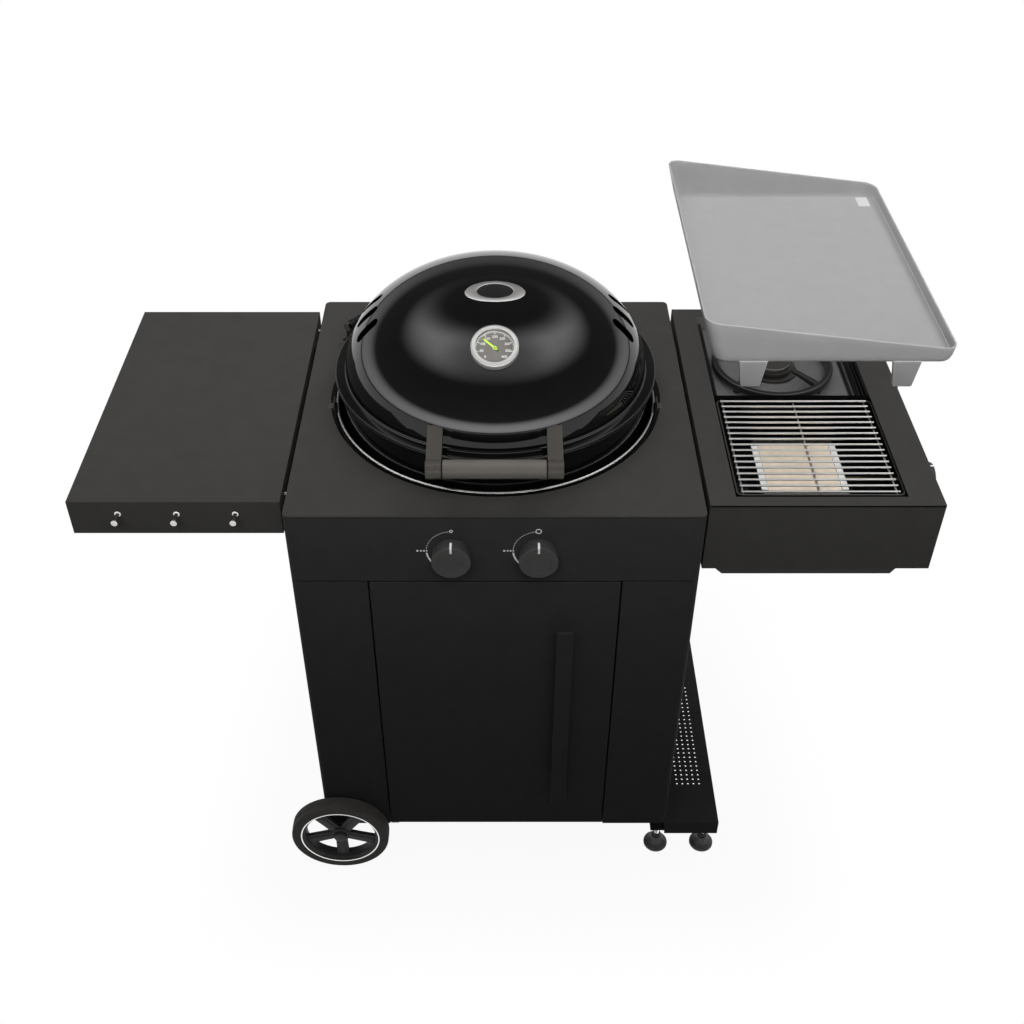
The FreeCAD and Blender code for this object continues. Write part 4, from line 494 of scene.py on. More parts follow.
LID_LO, LID_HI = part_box("lid_shell")
DOME_R = 267.5
BRIM_R = (LID_HI.x - LID_LO.x) / 2 / MM
BRIM_LIP = 6.0
BRIM_Z = LID_LO.z / MM + BRIM_LIP
DOME_H = LID_HI.z / MM - BRIM_Z
LID_WALL = 1.5
COLLAR_H = 7.0
DOME_START = 2.6
VENT_L, VENT_W = 55.0, 22.0
VENT_STEP, VENT_TURN, VENT_TILT = 11.5, 1.5, 32.5
THERMO_R, THERMO_TILT = 39.5, 52.2
SEAT_GAP = 0.1
CUT_DEPTH, SEAT_DEPTH = 30.0, 60.0
SKIN_OFF, SKIN_TURN = 0.4, 0.9
LID_FRAME = facing(KETTLE)


def dome_height(x, y):
    """Height of the dome's outer skin at a place beside the kettle's axis."""
    return BRIM_Z + DOME_H * sqrt(max(0.0, 1 - (x * x + y * y) / DOME_R ** 2))


def dome_normal(x, y):
    """Outward direction of the dome's skin at that place."""
    z = dome_height(x, y) - BRIM_Z
    return Vector((x / DOME_R ** 2, y / DOME_R ** 2, z / DOME_H ** 2)).normalized()


def smooth_dome(mesh):
    """Give the cut dome its true normals back, so that its gloss stays even round the vents."""
    to_lid = LID_FRAME.inverted()
    normals = [Vector(corner.vector) for corner in mesh.corner_normals]
    for loop in mesh.loops:
        spot = to_lid @ mesh.vertices[loop.vertex_index].co
        if spot.z > BRIM_Z + COLLAR_H and abs(spot.z - dome_height(spot.x, spot.y)) < SKIN_OFF:
            true = dome_normal(spot.x, spot.y)
            if true.dot(normals[loop.index]) > SKIN_TURN:
                normals[loop.index] = true
    mesh.normals_split_custom_set(normals)


def on_dome(x, y):
    """Place on the dome's skin in the scene, and its outward direction."""
    return LID_FRAME @ Vector((x, y, dome_height(x, y))), dome_normal(x, y)


def dome_section(inset):
    """Half section of the dome from above its brim to its top."""
    points = [((DOME_R - inset) * c, BRIM_Z + (DOME_H - inset) * s) for c, s in arc(1, DOME_START, 90, 48)]
    return points[:-1] + [(0, points[-1][1])]


def vent_frame(side, step):
    """Frame of an air vent on the dome, its X round the dome and its Z straight out."""
    turn = radians(step + VENT_TURN)
    out = Vector((side * cos(turn), sin(turn), 0))
    place = out * DOME_R * cos(radians(VENT_TILT))
    spot, normal = on_dome(place.x, place.y)
    along = Vector(UP).cross(out).cross(normal)
    return facing(spot, along, normal.cross(along))


def thermo_frame():
    """Frame of the thermometer on the dome's skin, its Z straight out."""
    spot, normal = on_dome(0, -DOME_R * cos(radians(THERMO_TILT)))
    return facing(spot, RIGHT, normal.cross(Vector(RIGHT)))


def make_lid():
    """Dome, brim with a rounded lip, vents at both sides and the thermometer's seat."""
    inside, lip_in, lip_out = DOME_R - LID_WALL, BRIM_R - 2, BRIM_R + 0.9
    lip_z = BRIM_Z - BRIM_LIP
    brim = [(DOME_R, BRIM_Z + COLLAR_H), (DOME_R, BRIM_Z, 5), (BRIM_R, BRIM_Z, 2.2),
            (BRIM_R, BRIM_Z - 4.2, 0.3), (lip_out, BRIM_Z - 4.8, 0.5), (lip_out, lip_z, 0.6),
            (lip_in, lip_z, 0.5), (lip_in, BRIM_Z - 2, 0.5), (inside, BRIM_Z - 2, 1),
            (inside, BRIM_Z + COLLAR_H)]
    profile = dome_section(0)[::-1] + rounded(brim, 0, 5)[1:-1] + dome_section(LID_WALL)
    lid = lathe("lid_dome", profile, ENAMEL, LID_FRAME, 192)
    vent = obround(VENT_L, VENT_W)
    cutters = []
    for side in (1, -1):
        for step in (-VENT_STEP, 0.0, VENT_STEP):
            cutters.append(slab("vent", vent, -CUT_DEPTH, CUT_DEPTH, ENAMEL, 0, vent_frame(side, step)))
    seat = rect(0, THERMO_R + SEAT_GAP, -SEAT_DEPTH, SEAT_DEPTH)
    cutters.append(lathe("seat", seat, ENAMEL, thermo_frame(), 96))
    cut_away(lid, cutters)
    smooth_dome(lid.data)
    dress(lid, "lid", "black_enamel", "lid_shell")


SCALE_FIRST, SCALE_LAST = 225, -45
SCALE_TICKS, SCALE_FIGURES, FIGURE_STEP = 40, 8, 50
NEEDLE_TURN = 138


def make_thermometer():
    """Case with a rounded bright bezel, a printed dial and the needle."""
    here = thermo_frame()
    floor_z, dial_z, print_z = -3, -1.9, -1.75
    case = [(0, -6), (THERMO_R, -6, 1.5), (THERMO_R, 8.2, 2.6), (36.5, 9.6, 1.5), (31.6, 9.2, 0.6),
            (31.4, 8.1, 0.3), (34, 8.0), (34, floor_z, 0.3), (0, floor_z)]
    probe = [(0, -36), (2.2, -36), (3, -34), (3, -5.5), (0, -5.5)]
    pieces = [lathe("case", rounded(case, 0, 5), BEZEL, here, 96),
              lathe("probe", probe, STAINLESS, here, 24)]
    dress(joined("thermometer_body", pieces), "lid", "stainless", "thermometer_case")
    hub = rounded([(0, dial_z), (1.5, dial_z), (1.5, 1.0, 0.4), (0, 1.0)], 0, 3)
    marks = [lathe("plate", rect(0, 33.9, dial_z, floor_z), DIAL, here, 96),
             lathe("ring", rect(31.4, 32.2, -1.78, -2), PRINT, here, 96, closed=True),
             lathe("hub", hub, DIAL, here, 24)]
    for i in range(SCALE_TICKS + 1):
        turn = radians(SCALE_FIRST + (SCALE_LAST - SCALE_FIRST) * i / SCALE_TICKS)
        inside, half = (26.8, 0.6) if i % (SCALE_TICKS // SCALE_FIGURES) == 0 else (28.8, 0.28)
        marks.append(slab("tick", rect(inside, 31.0, -half, half), dial_z, print_z, PRINT, 0,
                          here @ Matrix.Rotation(turn, 4, "Z")))
    for i, (x, y) in enumerate(arc(22.0, SCALE_FIRST, SCALE_LAST, SCALE_FIGURES)):
        place = here @ Matrix.Translation((x, y, -1.8))
        marks.append(text_piece("figure", str(i * FIGURE_STEP), 6.4, PRINT, place, 0.12))
    dress(joined("thermometer_face", marks), "lid", "dial_paint", "thermometer_dial")
    make_needle(here @ Matrix.Rotation(radians(NEEDLE_TURN), 4, "Z"))


def make_needle(turn):
    """Flat needle with a bored disc on the post, its tip along X."""
    half_w, root, low, high = 1.5, 2.4, -0.3, 0.5
    blade = rounded(mirrored([(-10, -half_w, 0.5), (20, -half_w, 2), (25.5, -0.5, 0.4)]), 0, 4, True)
    tip = [p for p in blade if p[0] > root] + [(root, half_w), (root, -half_w)]
    tail = [p for p in blade if p[0] < -root] + [(-root, -half_w), (-root, half_w)]
    pieces = [slab("tip", tip, low, high, NEEDLE, 0, turn), slab("tail", tail, low, high, NEEDLE, 0, turn),
              plate_with_holes("disc", circle(3.2, 32), [circle(1.75, 24)], low, high, NEEDLE, 0.1, turn)]
    dress(joined("needle_blade", pieces), "needle", "needle_paint", "thermometer_needle")


def make_oval_plate():
    """Bare oval metal plate with a dark middle, on the dome behind the thermometer."""
    middle_y = -41.0
    half_x, half_y = 51.0, 28.5
    steps = 96
    # Shares of the half width and half depth, height over the dome, material
    rows = [(0.0, 0.0, 1.05, 1), (0.60, 0.70, 1.05, 1), (0.615, 0.725, 1.5, 0), (0.66, 0.77, 1.7, 0),
            (0.94, 0.94, 1.7, 0), (0.985, 0.98, 1.3, 0), (1.0, 1.0, 0.4, 0), (1.0, 1.0, -0.4, 0)]
    bm = bmesh.new()
    rings = []
    for wide, deep, lift, _ in rows:
        turns = circle(1, steps) if wide else [(0, 0)]
        spots = [(half_x * wide * c, middle_y + half_y * deep * s) for c, s in turns]
        rings.append([bm.verts.new(Vector((x, y, dome_height(x, y))) + dome_normal(x, y) * lift)
                      for x, y in spots])
    for i, face in enumerate(skin(bm, rings)):
        face.material_index = rows[i // steps + 1][3]
    plate = finish_mesh("oval_plate", bm, BEZEL, LID_FRAME)
    plate.data.materials.append(BLACK_PAINT)
    dress(plate, "lid", "stainless")


ARM_W, ARM_HALF = 25.5, 6.5
ARM_ROOT_IN, ARM_ROOT_UP = 53.0, 102.0
ARM_SINK, ARM_STEP = 1.0, 0.5
WASHER_R = 12.0


def arm_end(start, along, longest, x):
    """Where an edge of a handle's arm has dipped into the dome."""
    reach = 0.0
    while reach < longest:
        spot = start + along * reach
        if hypot(x, spot.x) < DOME_R and spot.y < dome_height(x, spot.x) - ARM_SINK:
            break
        reach += ARM_STEP
    return tuple(start + along * reach)


def make_lid_handle():
    """Two flat arms in a darker bronze that paints shade on them and a round grip, with a narrow dark washer
    at each end.
    """
    centre, half = middle_of("lid_handle_bar")
    bar_r, bar_half = half.z / MM, half.x / MM
    side = [(0, -bar_half), (bar_r, -bar_half, 1.6), (bar_r, bar_half, 1.6), (0, bar_half)]
    grip = lathe("handle_grip", rounded(side, 0, 4), BRONZE, facing(centre, BACK, UP), 64)
    dress(grip, "lid", "bronze_metal", "lid_handle_bar")
    low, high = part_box("lid_handle_arms")
    inner_x = (high.x - low.x) / 2 / MM - ARM_W
    bar = Vector(((centre.y - KETTLE.y) / MM, centre.z / MM))
    root = Vector((ARM_ROOT_IN - DOME_R, TOP + ARM_ROOT_UP))
    along = (root - bar).normalized()
    across = Vector((-along.y, along.x)) * ARM_HALF
    inward = along * sqrt(bar_r ** 2 - ARM_HALF ** 2)
    outline = [arm_end(bar + shift, along, (root - bar).length, inner_x + ARM_W / 2)
               for shift in (across, -across)]
    start, stop = [degrees(atan2(p.y, p.x)) for p in (inward - across, inward + across)]
    sweep = (stop - start) % 360
    if sweep < 180:
        sweep -= 360
    outline += arc(bar_r, start, start + sweep, 28, bar)
    pieces = []
    for way, left in ((-1, -(inner_x + ARM_W)), (1, inner_x)):
        arm_frame = facing(KETTLE + Vector((left * MM, 0, 0)), BACK, UP)
        # The arms' darker bronze is painted shade; the grip keeps the lighter bronze of the same finish
        pieces.append(slab("arm", outline, 0, ARM_W, DARK_BRONZE, 1.3, arm_frame))
        washer = rect(0, WASHER_R, *sorted((way * bar_half, way * inner_x)))
        bar_frame = facing(Vector((KETTLE.x, centre.y, centre.z)), BACK, UP)
        pieces.append(lathe("washer", washer, BLACK_PAINT, bar_frame, 48))
    dress(joined("handle_arms", pieces), "lid", "bronze_metal", "lid_handle_arms")


make_lid()
make_thermometer()
make_oval_plate()
make_lid_handle()


# Kettle ring: black flat with a bright rolled bead

RING_IN, RING_OUT, RING_T = 288.5, 310.0, 2.0
BEAD_AT, BEAD_R = 287.2, 2.6
CLIP_AT = 289.5
# Thickness of the clip and of its foot, then both ends along Y and Z
CLIP_BLOCKS = [("clip", 2.0, -54, -26, 0.0, 12.0), ("clip_foot", 11.5, -48, -32, -0.1, 1.8)]


def make_ring():
    """Enamelled flat ring with its plated bead, and a clip at each side."""
    under = TOP - 1.5
    flat = rounded(rect(RING_IN, RING_OUT, under - RING_T, under - 0.02), 0.3, 2, True)
    bead = circle(BEAD_R, 18, (BEAD_AT, under - 1))
    pieces = [lathe("flat", flat, ENAMEL, LID_FRAME, 160, closed=True),
              lathe("bead", bead, PLATED, LID_FRAME, 192, closed=True)]
    for side in (-1, 1):
        for name, thick, y0, y1, z0, z1 in CLIP_BLOCKS:
            low, high = sorted((side * CLIP_AT, side * (CLIP_AT + thick)))
            pieces.append(block(name, (low, y0, under + z0), (high, y1, under + z1), DARK_BRONZE, 0.6, 2,
                                LID_FRAME))
    dress(joined("trim_ring", pieces), "cabinet", "black_enamel", "kettle_ring")


make_ring()


# Knobs: moulded, dished, with a white pointer across the edge and printed marks round them

FASCIA_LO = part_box("control_panel")[0]
MODULE_LO, MODULE_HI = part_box("module_housing")
KNOB_EDGE = 2.2
POINTER_HALF, POINTER_LIFT, POINTER_LONG = 1.75, 0.25, 15.0
MARK_R, MARK_HALF, MARK_T = 41.5, 1.5, 0.2
ZERO_HALF = 0.75
DOT_T = 0.22
# Knob, its reader's right, its panel's place along the knob's axis, radius of the ring at the top
KNOB_PLACES = [("inner_burner", RIGHT, -FASCIA_LO.y, 2.4), ("outer_burner", RIGHT, -FASCIA_LO.y, 4.4),
               ("side_grill", BACK, MODULE_HI.x, 2.4), ("side_hob", BACK, MODULE_HI.x, 4.4)]


def make_knob(name, right):
    """One knob on its own frame: X to the reader's right, Y up, Z towards the reader."""
    centre, half = middle_of(name + "_knob")
    out = Vector(right).cross(Vector(UP))
    length = 2 * abs(half.dot(out)) / MM
    radius = half.z / MM
    here = facing(centre - out * length * MM / 2, right, UP)
    side = [(0, 0), (radius - 1.4, 0, 1.0), (radius, length - 6, 8), (radius, length, KNOB_EDGE),
            (21.5, length, 1.0), (20.0, length - 2.4, 2.0), (0, length - 2.8)]
    pieces = [lathe("body", rounded(side, 0, 5), KNOB_PLASTIC, here, 96)]
    first, low = 21.8, length - POINTER_LONG
    outline = [(first, length + POINTER_LIFT)]
    outline += arc(KNOB_EDGE + POINTER_LIFT, 90, 0, 6, (radius - KNOB_EDGE, length - KNOB_EDGE))
    outline += [(radius + POINTER_LIFT, low), (radius - 0.8, low), (radius - 0.8, length - 3.0),
                (radius - 2.6, length - 0.6), (first, length - 0.6)]
    turn = here @ Matrix(((0, 0, 1, 0), (1, 0, 0, 0), (0, 1, 0, 0), (0, 0, 0, 1)))
    pieces.append(slab("pointer", outline, -POINTER_HALF, POINTER_HALF, PRINT, 0, turn))
    dress(joined(name + "_grip", pieces), name + "_knob_body", "knob_plastic", name + "_knob")


def make_knob_marks(name, right, panel, ring_r):
    """Printed arc round a knob: dots that grow to the left, a solid low range and a ring at the top."""
    centre = middle_of(name + "_knob")[0]
    out = Vector(right).cross(Vector(UP))
    here = facing(centre - out * (centre.dot(out) - panel), right, UP)
    dots = [(x, y, 0.8) for x, y in arc(MARK_R, 174, 98, 14)]
    dots += [(-56.4, 0, 2.0), (-50.6, 0, 1.8), (-45.6, 0, 1.7), (-41.2, 0, 1.5)]
    pieces = []
    for x, y, r in dots:
        disc = rounded([(0, 0), (r, 0), (r, DOT_T, 0.1), (0, DOT_T)], 0, 2)
        pieces.append(lathe("dot", disc, PRINT, here @ Matrix.Translation((x, y, 0)), 20))
    outline = arc(MARK_R + MARK_HALF, 186, 226, 20) + arc(MARK_R - MARK_HALF, 226, 186, 20)
    pieces.append(slab("range", outline, 0, MARK_T, PRINT, 0, here))
    ring = rect(ring_r - ZERO_HALF, ring_r + ZERO_HALF, 0, MARK_T)
    ring_frame = here @ Matrix.Translation((0, MARK_R + 1, 0))
    pieces.append(lathe("zero", ring, PRINT, ring_frame, 32, closed=True))
    dress(joined(name + "_marks", pieces), "cabinet", "cover_plastic")


def make_fascia_shade_strip():
    """Black strip painted in the gap under the fascia as its shade."""
    half_w, under = 335, FASCIA_LO.z / MM
    low, high = (-half_w, 0.8, under - 2.6), (half_w, 3.0, under - 0.05)
    gap = block("fascia_shade_strip", low, high, BLACK_AND_SHADE, 0.05, 1, CABINET_FRAME)
    dress(gap, "cabinet", "black_paint")


for knob_name, knob_right, _, _ in KNOB_PLACES:
    make_knob(knob_name, knob_right)
for knob_place in KNOB_PLACES:
    make_knob_marks(*knob_place)
make_fascia_shade_strip()


# Wheels: rounded tyre with fine tread lines, light ring line, spoked hub

TYRE_IN = 78.0
GROOVES, GROOVE_STEP, GROOVE_DEEP = 5, 3.6, 0.9
SPOKES = 5


def make_wheel(end, toward):
    """One wheel; toward is +1 when its outer face looks to the back, -1 when it looks to the front."""
    centre, half = middle_of(end + "_tyre")
    radius, half_w = half.z / MM, half.y / MM
    here = facing(centre, (-toward, 0, 0), UP)
    wall = [(TYRE_IN, 3 - half_w), (80.0, -half_w, 2), (radius - 0.6, -half_w, 4.2)]
    grooves = []
    for k in range(GROOVES):
        h = GROOVE_STEP * (k - (GROOVES - 1) / 2)
        crown, floor = radius - 0.2 - 0.05 * abs(h), radius - GROOVE_DEEP
        grooves += [(crown, h - 1.15), (floor, h - 0.75), (floor, h + 0.75), (crown, h + 1.15)]
    profile = rounded(wall + grooves + mirrored(wall)[len(wall):], 0, 5, True)
    tyre = lathe(end + "_tyre_skin", profile, RUBBER, here, 144, closed=True)
    dress(tyre, end + "_wheel", "tyre_rubber", end + "_tyre")
    rim = rounded([(69.0, -11), (TYRE_IN, -11), (TYRE_IN, 12.2), (79.6, 13.4), (79.4, 14.6), (76.2, 14.4),
                   (74.4, 11.5), (71.5, 9.0), (69.0, 3.0)], 0.8, 3, True)
    line = [(76.8, 14.2), (76.8, 14.8), (79.2, 15.0), (79.2, 14.2)]
    pieces = [lathe("rim", rim, HUB_PLASTIC, here, 128, closed=True),
              lathe("line", line, RING_LINE, here, 128, closed=True)]
    spoke = rounded(mirrored([(12, -11.5), (40, -11.8), (66, -12.6), (73.5, -17)]), 6, 3, True)
    ridge = mirrored([(18, -5.0), (68, -6.0)])
    for i in range(SPOKES):
        turn = here @ Matrix.Rotation(radians(-90 + 360 / SPOKES * i), 4, "Z")
        pieces.append(slab("spoke", spoke, -4.5, 4.5, HUB_PLASTIC, 2.2, turn))
        pieces.append(slab("ridge", ridge, 4.0, 5.8, HUB_PLASTIC, 0.9, turn))
    boss = rounded([(6.2, -11), (19, -11, 1), (19, 7.0, 2), (16.4, 9.0, 0.8), (14.6, 7.6, 0.6),
                    (13.2, 7.6, 0.6), (12.4, 15.2, 2.4), (0, 16.0)], 0, 4)
    pieces.append(lathe("boss", [(6.2, -6)] + boss, HUB_PLASTIC, here, 64))
    dress(joined(end + "_hub_cast", pieces), end + "_wheel", "hub_plastic", end + "_hub")


make_wheel("front", -1)
make_wheel("rear", 1)


# Levelling feet: bell foot, lock nut and threaded stem

FOOT_R, NUT_R = 24.5, 9.0
THREAD_FIRST, THREAD_PITCH = 26.0, 1.5


def make_feet():
    """Four bell feet, each with its nut and stem."""
    low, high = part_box("levelling_feet")
    stem_top = high.z / MM
    bell = rounded([(0, 0), (FOOT_R, 0, 1.5), (FOOT_R, 5.5, 2.0), (16.5, 12.5, 10), (10.5, 20.0, 6),
                    (10.0, 27.5, 1.2), (0, 27.5)], 0, 5)
    thread = [(0, THREAD_FIRST)]
    h = THREAD_FIRST
    while h < stem_top - 1:
        thread += [(5.0, h), (4.4, h + THREAD_PITCH / 2)]
        h += THREAD_PITCH
    thread += [(5.0, stem_top - 0.6), (4.2, stem_top), (0, stem_top)]
    pieces = []
    for x in (low.x + FOOT_R * MM, high.x - FOOT_R * MM):
        for y in (low.y + FOOT_R * MM, high.y - FOOT_R * MM):
            here = facing(Vector((x, y, 0)))
            pieces.append(lathe("bell", bell, FOOT_PLASTIC, here, 64))
            pieces.append(slab("nut", circle(NUT_R, 6), 28, 36, HUB_PLASTIC, 0.8, here))
            pieces.append(lathe("stem", thread, PLATED, here, 24))
    dress(joined("bell_feet", pieces), "cabinet", "foot_plastic", "levelling_feet")


make_feet()


# Tool hooks on the shelf's front

HOOKS = 3


def make_hooks():
    """Pegs with a collar and a rounded head."""
    low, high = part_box("tool_hooks")
    length, head_r = (high.y - low.y) / MM, (high.z - low.z) / 2 / MM
    peg = rounded([(0, 0), (head_r, 0, 0.6), (head_r, 2.6, 0.8), (3.2, 3.2, 0.6), (3.0, length - 5, 0.8),
                   (head_r, length - 4, 0.8), (head_r, length, 1.2), (0, length)], 0, 4)
    first, last = low.x + head_r * MM, high.x - head_r * MM
    pieces = []
    for i in range(HOOKS):
        spot = Vector((first + (last - first) * i / (HOOKS - 1), high.y, (low.z + high.z) / 2))
        pieces.append(lathe("peg", peg, STAINLESS, facing(spot, RIGHT, UP), 32))
    dress(joined("hook_pegs", pieces), "shelf", "stainless", "tool_hooks")


make_hooks()


# Loose cover: a soft-edged tray with a sloping rim and four feet

LEFT_H, RIGHT_H = 76.0, 26.4
LEFT_FLARE, RIGHT_FLARE, END_FLARE = 19.0, 3.0, 2.0
COVER_WALL, COVER_CORNER, LEAST_CORNER = 3.0, 24.0, 6.0
EDGE_OUT, EDGE_IN = 7.0, 9.0
LEG_H, LEG_T = 45.0, 9.5
LEG_LEFT, LEG_RIGHT = 65.0, 75.0
LEG_FOOT, LEG_ROOT, LEG_SINK = 15.5, 23.0, 4.0
LABEL_AT, LABEL_TO, LABEL_T = (697, 675, 0), (719, 712, 0), 0.6


def make_cover():
    """The tray is deep at its left end and shallow at its right."""
    low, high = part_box("cover_tray")
    x0, y0, z0 = low / MM
    x1, y1, _ = high / MM
    floor_z = z0 + LEG_H

    def ring(inset, share, drop=0.0):
        """A loop between the floor (share 0) and the rim (share 1), set in from the outside."""
        rest = 1 - share
        shape = loop_outline(x0 + LEFT_FLARE * rest + inset, x1 - RIGHT_FLARE * rest - inset,
                             y0 + END_FLARE * rest + inset, y1 - END_FLARE * rest - inset,
                             max(LEAST_CORNER, COVER_CORNER - inset))
        return [(x, y, floor_z + (LEFT_H + (RIGHT_H - LEFT_H) * (x - x0) / (x1 - x0)) * share - drop)
                for x, y in shape]

    half_t = COVER_WALL / 2
    loops = [ring(EDGE_OUT * (1 - s), 0.0, -EDGE_OUT * (1 - c)) for c, s in arc(1, 0, 90, 4)]
    loops += [ring(0, share) for share in (0.35, 0.7)]
    loops += [ring(half_t * (1 - c), 1.0, half_t * (1 - s)) for c, s in arc(1, 0, 180, 6)]
    loops += [ring(COVER_WALL, share) for share in (0.7, 0.4)]
    loops += [ring(COVER_WALL + EDGE_IN * (1 - c), 0.0, -COVER_WALL - EDGE_IN * (1 - s))
              for c, s in arc(1, 0, 90, 5)]
    pieces = [loft("tray", loops, COVER, PART_FRAME)]
    leg = rounded([(-LEG_FOOT, 0.0, 3), (LEG_FOOT, 0.0, 3), (LEG_ROOT, LEG_H + LEG_SINK),
                   (-LEG_ROOT, LEG_H + LEG_SINK)], 0, 4, True)
    for x in (x0 + LEFT_FLARE + LEG_LEFT, x1 - RIGHT_FLARE - LEG_RIGHT):
        for y in (y0 + END_FLARE + LEG_T, y1 - END_FLARE):
            here = facing(Vector((x, y, z0)) * MM, RIGHT, UP)
            pieces.append(slab("foot", leg, 0, LEG_T, COVER, 1.2, here))
    label_lo, label_hi = at(*LABEL_AT) / MM, at(*LABEL_TO) / MM
    label_lo.z = floor_z + COVER_WALL
    label_hi.z = label_lo.z + LABEL_T
    pieces.append(block("label", label_lo, label_hi, LABEL, 0.2, 2, PART_FRAME))
    cover = joined("cover_shell", pieces)
    cover.visible_shadow = False
    cover.visible_glossy = False
    dress(cover, "cover", "cover_plastic", "cover_tray")


make_cover()


# Burner module: black edge of the recess, infrared burner, grid and pot stand

BAY_X0, BAY_X1 = 397.0, 688.0
BAY_Y0, BAY_Y1 = 50.0, 333.0
HOB_Y0, HOB_Y1 = 339.0, 617.0
LIP_W = 6.5
GRID_LEFT, GRID_RIGHT = 5.0, 6.5
RIM_FRONT, RIM_BACK = 12.0, 2.0
HOB_FLOOR = TOP - 30.0
SEAM_LOW, SEAM_HIGH = TOP - 4.2, TOP - 1.6


def make_recess():
    """Black enamelled edge round the grill's bay, with soft corners and a fine bead whose grey metal is a
    painted highlight.
    """
    grid_lo, grid_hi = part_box("side_grid")
    x0, x1 = (grid_lo.x - CENTRE_X) / MM - GRID_LEFT, (grid_hi.x - CENTRE_X) / MM + GRID_RIGHT
    y0, y1 = BAY_Y0 + RIM_FRONT, BAY_Y1 - RIM_BACK
    outer = loop_outline(BAY_X0 + 0.3, BAY_X1 - 0.3, BAY_Y0 + 0.3, BAY_Y1 - 0.3, 2)
    hole = loop_outline(x0, x1, y0, y1, 9)
    rim = plate_with_holes("rim", outer, [hole], TOP - 6.5, TOP - 5.0, BLACK_AND_SHADE, 0.4, CABINET_FRAME)
    low, high = (BAY_X0 + 0.5, BAY_Y1 - 1.5, TOP - 0.5), (BAY_X1 - 7.0, HOB_Y0 + 1.5, TOP + 0.2)
    bridge = block("bridge", low, high, BLACK_AND_SHADE, 0.1, 1, CABINET_FRAME)
    dress(joined("recess_edge", [rim, bridge]), "cabinet", "black_enamel")
    # The fine bead is grey burner metal: a painted highlight on the black enamel's bead
    outer = loop_outline(x0 - 1.9, x1 + 1.9, y0 - 1.9, y1 + 1.4, 10)
    hole = loop_outline(x0 + 0.1, x1 - 0.1, y0 + 0.1, y1 - 0.1, 9)
    bead = plate_with_holes("bead", outer, [hole], TOP - 5.2, TOP - 4.4, CAST, 0.3, CABINET_FRAME)
    dress(bead, "cabinet", "black_enamel")


def make_bay_lip():
    """Lip at the right of the module's opening."""
    low, high = (BAY_X1 - LIP_W, BAY_Y0, TOP - 1.5), (BAY_X1 + 0.2, HOB_Y1, TOP - 0.01)
    dress(block("bay_lip", low, high, WORKTOP, 0.3, 2, CABINET_FRAME), "cabinet", "worktop_paint")


def make_hob_ledges():
    """Stepped ledges at three sides of the hob tray."""
    y0, y1 = HOB_Y0 + 4, HOB_Y1 - 4
    # Both ends along X and Y, and the height
    ledges = [(BAY_X0 + 3, BAY_X0 + 12, y0, y1, 14), (BAY_X1 - 30, BAY_X1 - 24, y0, y1, 5),
              (BAY_X1 - 20, BAY_X1 - 14, y0, y1, 9), (BAY_X1 - 10, BAY_X1 - 3, y0, y1, 14),
              (BAY_X0 + 4, BAY_X1 - 4, HOB_Y0 + 3, HOB_Y0 + 9, 14)]
    steps = []
    for left, right, near, far, tall in ledges:
        low, high = (left, near, HOB_FLOOR), (right, far, HOB_FLOOR + tall)
        steps.append(block("step", low, high, ENAMEL, 1.6, 3, CABINET_FRAME))
    dress(joined("hob_ledges", steps), "cabinet", "black_enamel")


def make_module_shade_line():
    """Black line painted as the seam's shade under the top edge, along the module's front and right wall."""
    low, high = MODULE_LO / MM, MODULE_HI / MM
    runs = [((low.x + 8, low.y - 0.06, SEAM_LOW), (high.x - 0.8, low.y + 0.3, SEAM_HIGH)),
            ((high.x - 0.3, low.y + 0.8, SEAM_LOW), (high.x + 0.06, high.y - 0.8, SEAM_HIGH))]
    lines = [block("line", *run, BLACK_AND_SHADE, 0.02, 1, PART_FRAME) for run in runs]
    dress(joined("module_shade_line", lines), "cabinet", "black_paint")


TILE_SPLIT, TILE_GAP = 84.5, 1.5


def make_ir_burner():
    """Stainless burner box with a turned-in edge, white fibre strips and ceramic tiles."""
    low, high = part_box("ir_burner")
    x0, y0, z0 = low / MM
    x1, y1, z1 = high / MM
    tile_lo, tile_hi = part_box("ceramic_tiles")
    tx0, ty0, tz0 = tile_lo / MM
    tx1, ty1, tz1 = tile_hi / MM
    hole = loop_outline(tx0 - 0.4, tx1 + 0.4, ty0 - 0.4, ty1 + 0.4, 1.0, 2)
    rim = loop_outline(x0, x1, y0, y1, 4.0)
    pieces = [plate_with_holes("rim", rim, [hole], z1 - 2.0, z1 + 0.8, STAINLESS, 0.7, PART_FRAME)]
    sides = []
    for inset, z in ((7, z0), (1, z0 + 6), (1, z1 - 1)):
        sides.append([(x, y, z) for x, y in loop_outline(x0 + inset, x1 - inset, y0 + inset, y1 - inset, 4)])
    pieces.append(loft("sides", sides, STAINLESS, PART_FRAME, ends=False))
    floor = loop_outline(x0 + 7, x1 - 7, y0 + 7, y1 - 7, 4)
    pieces.append(slab("floor", floor, z0, z0 + 1.2, STAINLESS, 0, PART_FRAME))
    dress(joined("burner_box", pieces), "cabinet", "stainless", "ir_burner")
    split = tx0 + TILE_SPLIT
    tiles = []
    for a, b in ((tx0, split), (split + TILE_GAP, tx1)):
        low, high = (a + 0.2, ty0 + 0.2, tz0), (b - 0.2, ty1 - 0.2, tz1)
        tiles.append(block("tile", low, high, TILE, 0.5, 2, PART_FRAME))
    dress(joined("burner_tiles", tiles), "cabinet", "tile_ceramic", "ceramic_tiles")
    strips = []
    for a, b in ((x0 - 2.4, tx0 - 0.6), (tx1 + 0.6, x1 + 2.4)):
        low, high = (a, ty0 + 2, z1 + 0.7), (b, ty1 - 2, z1 + 2.6)
        strips.append(block("strip", low, high, GASKET, 0.7, 2, PART_FRAME))
    dress(joined("burner_strips", strips), "cabinet", "tile_ceramic")


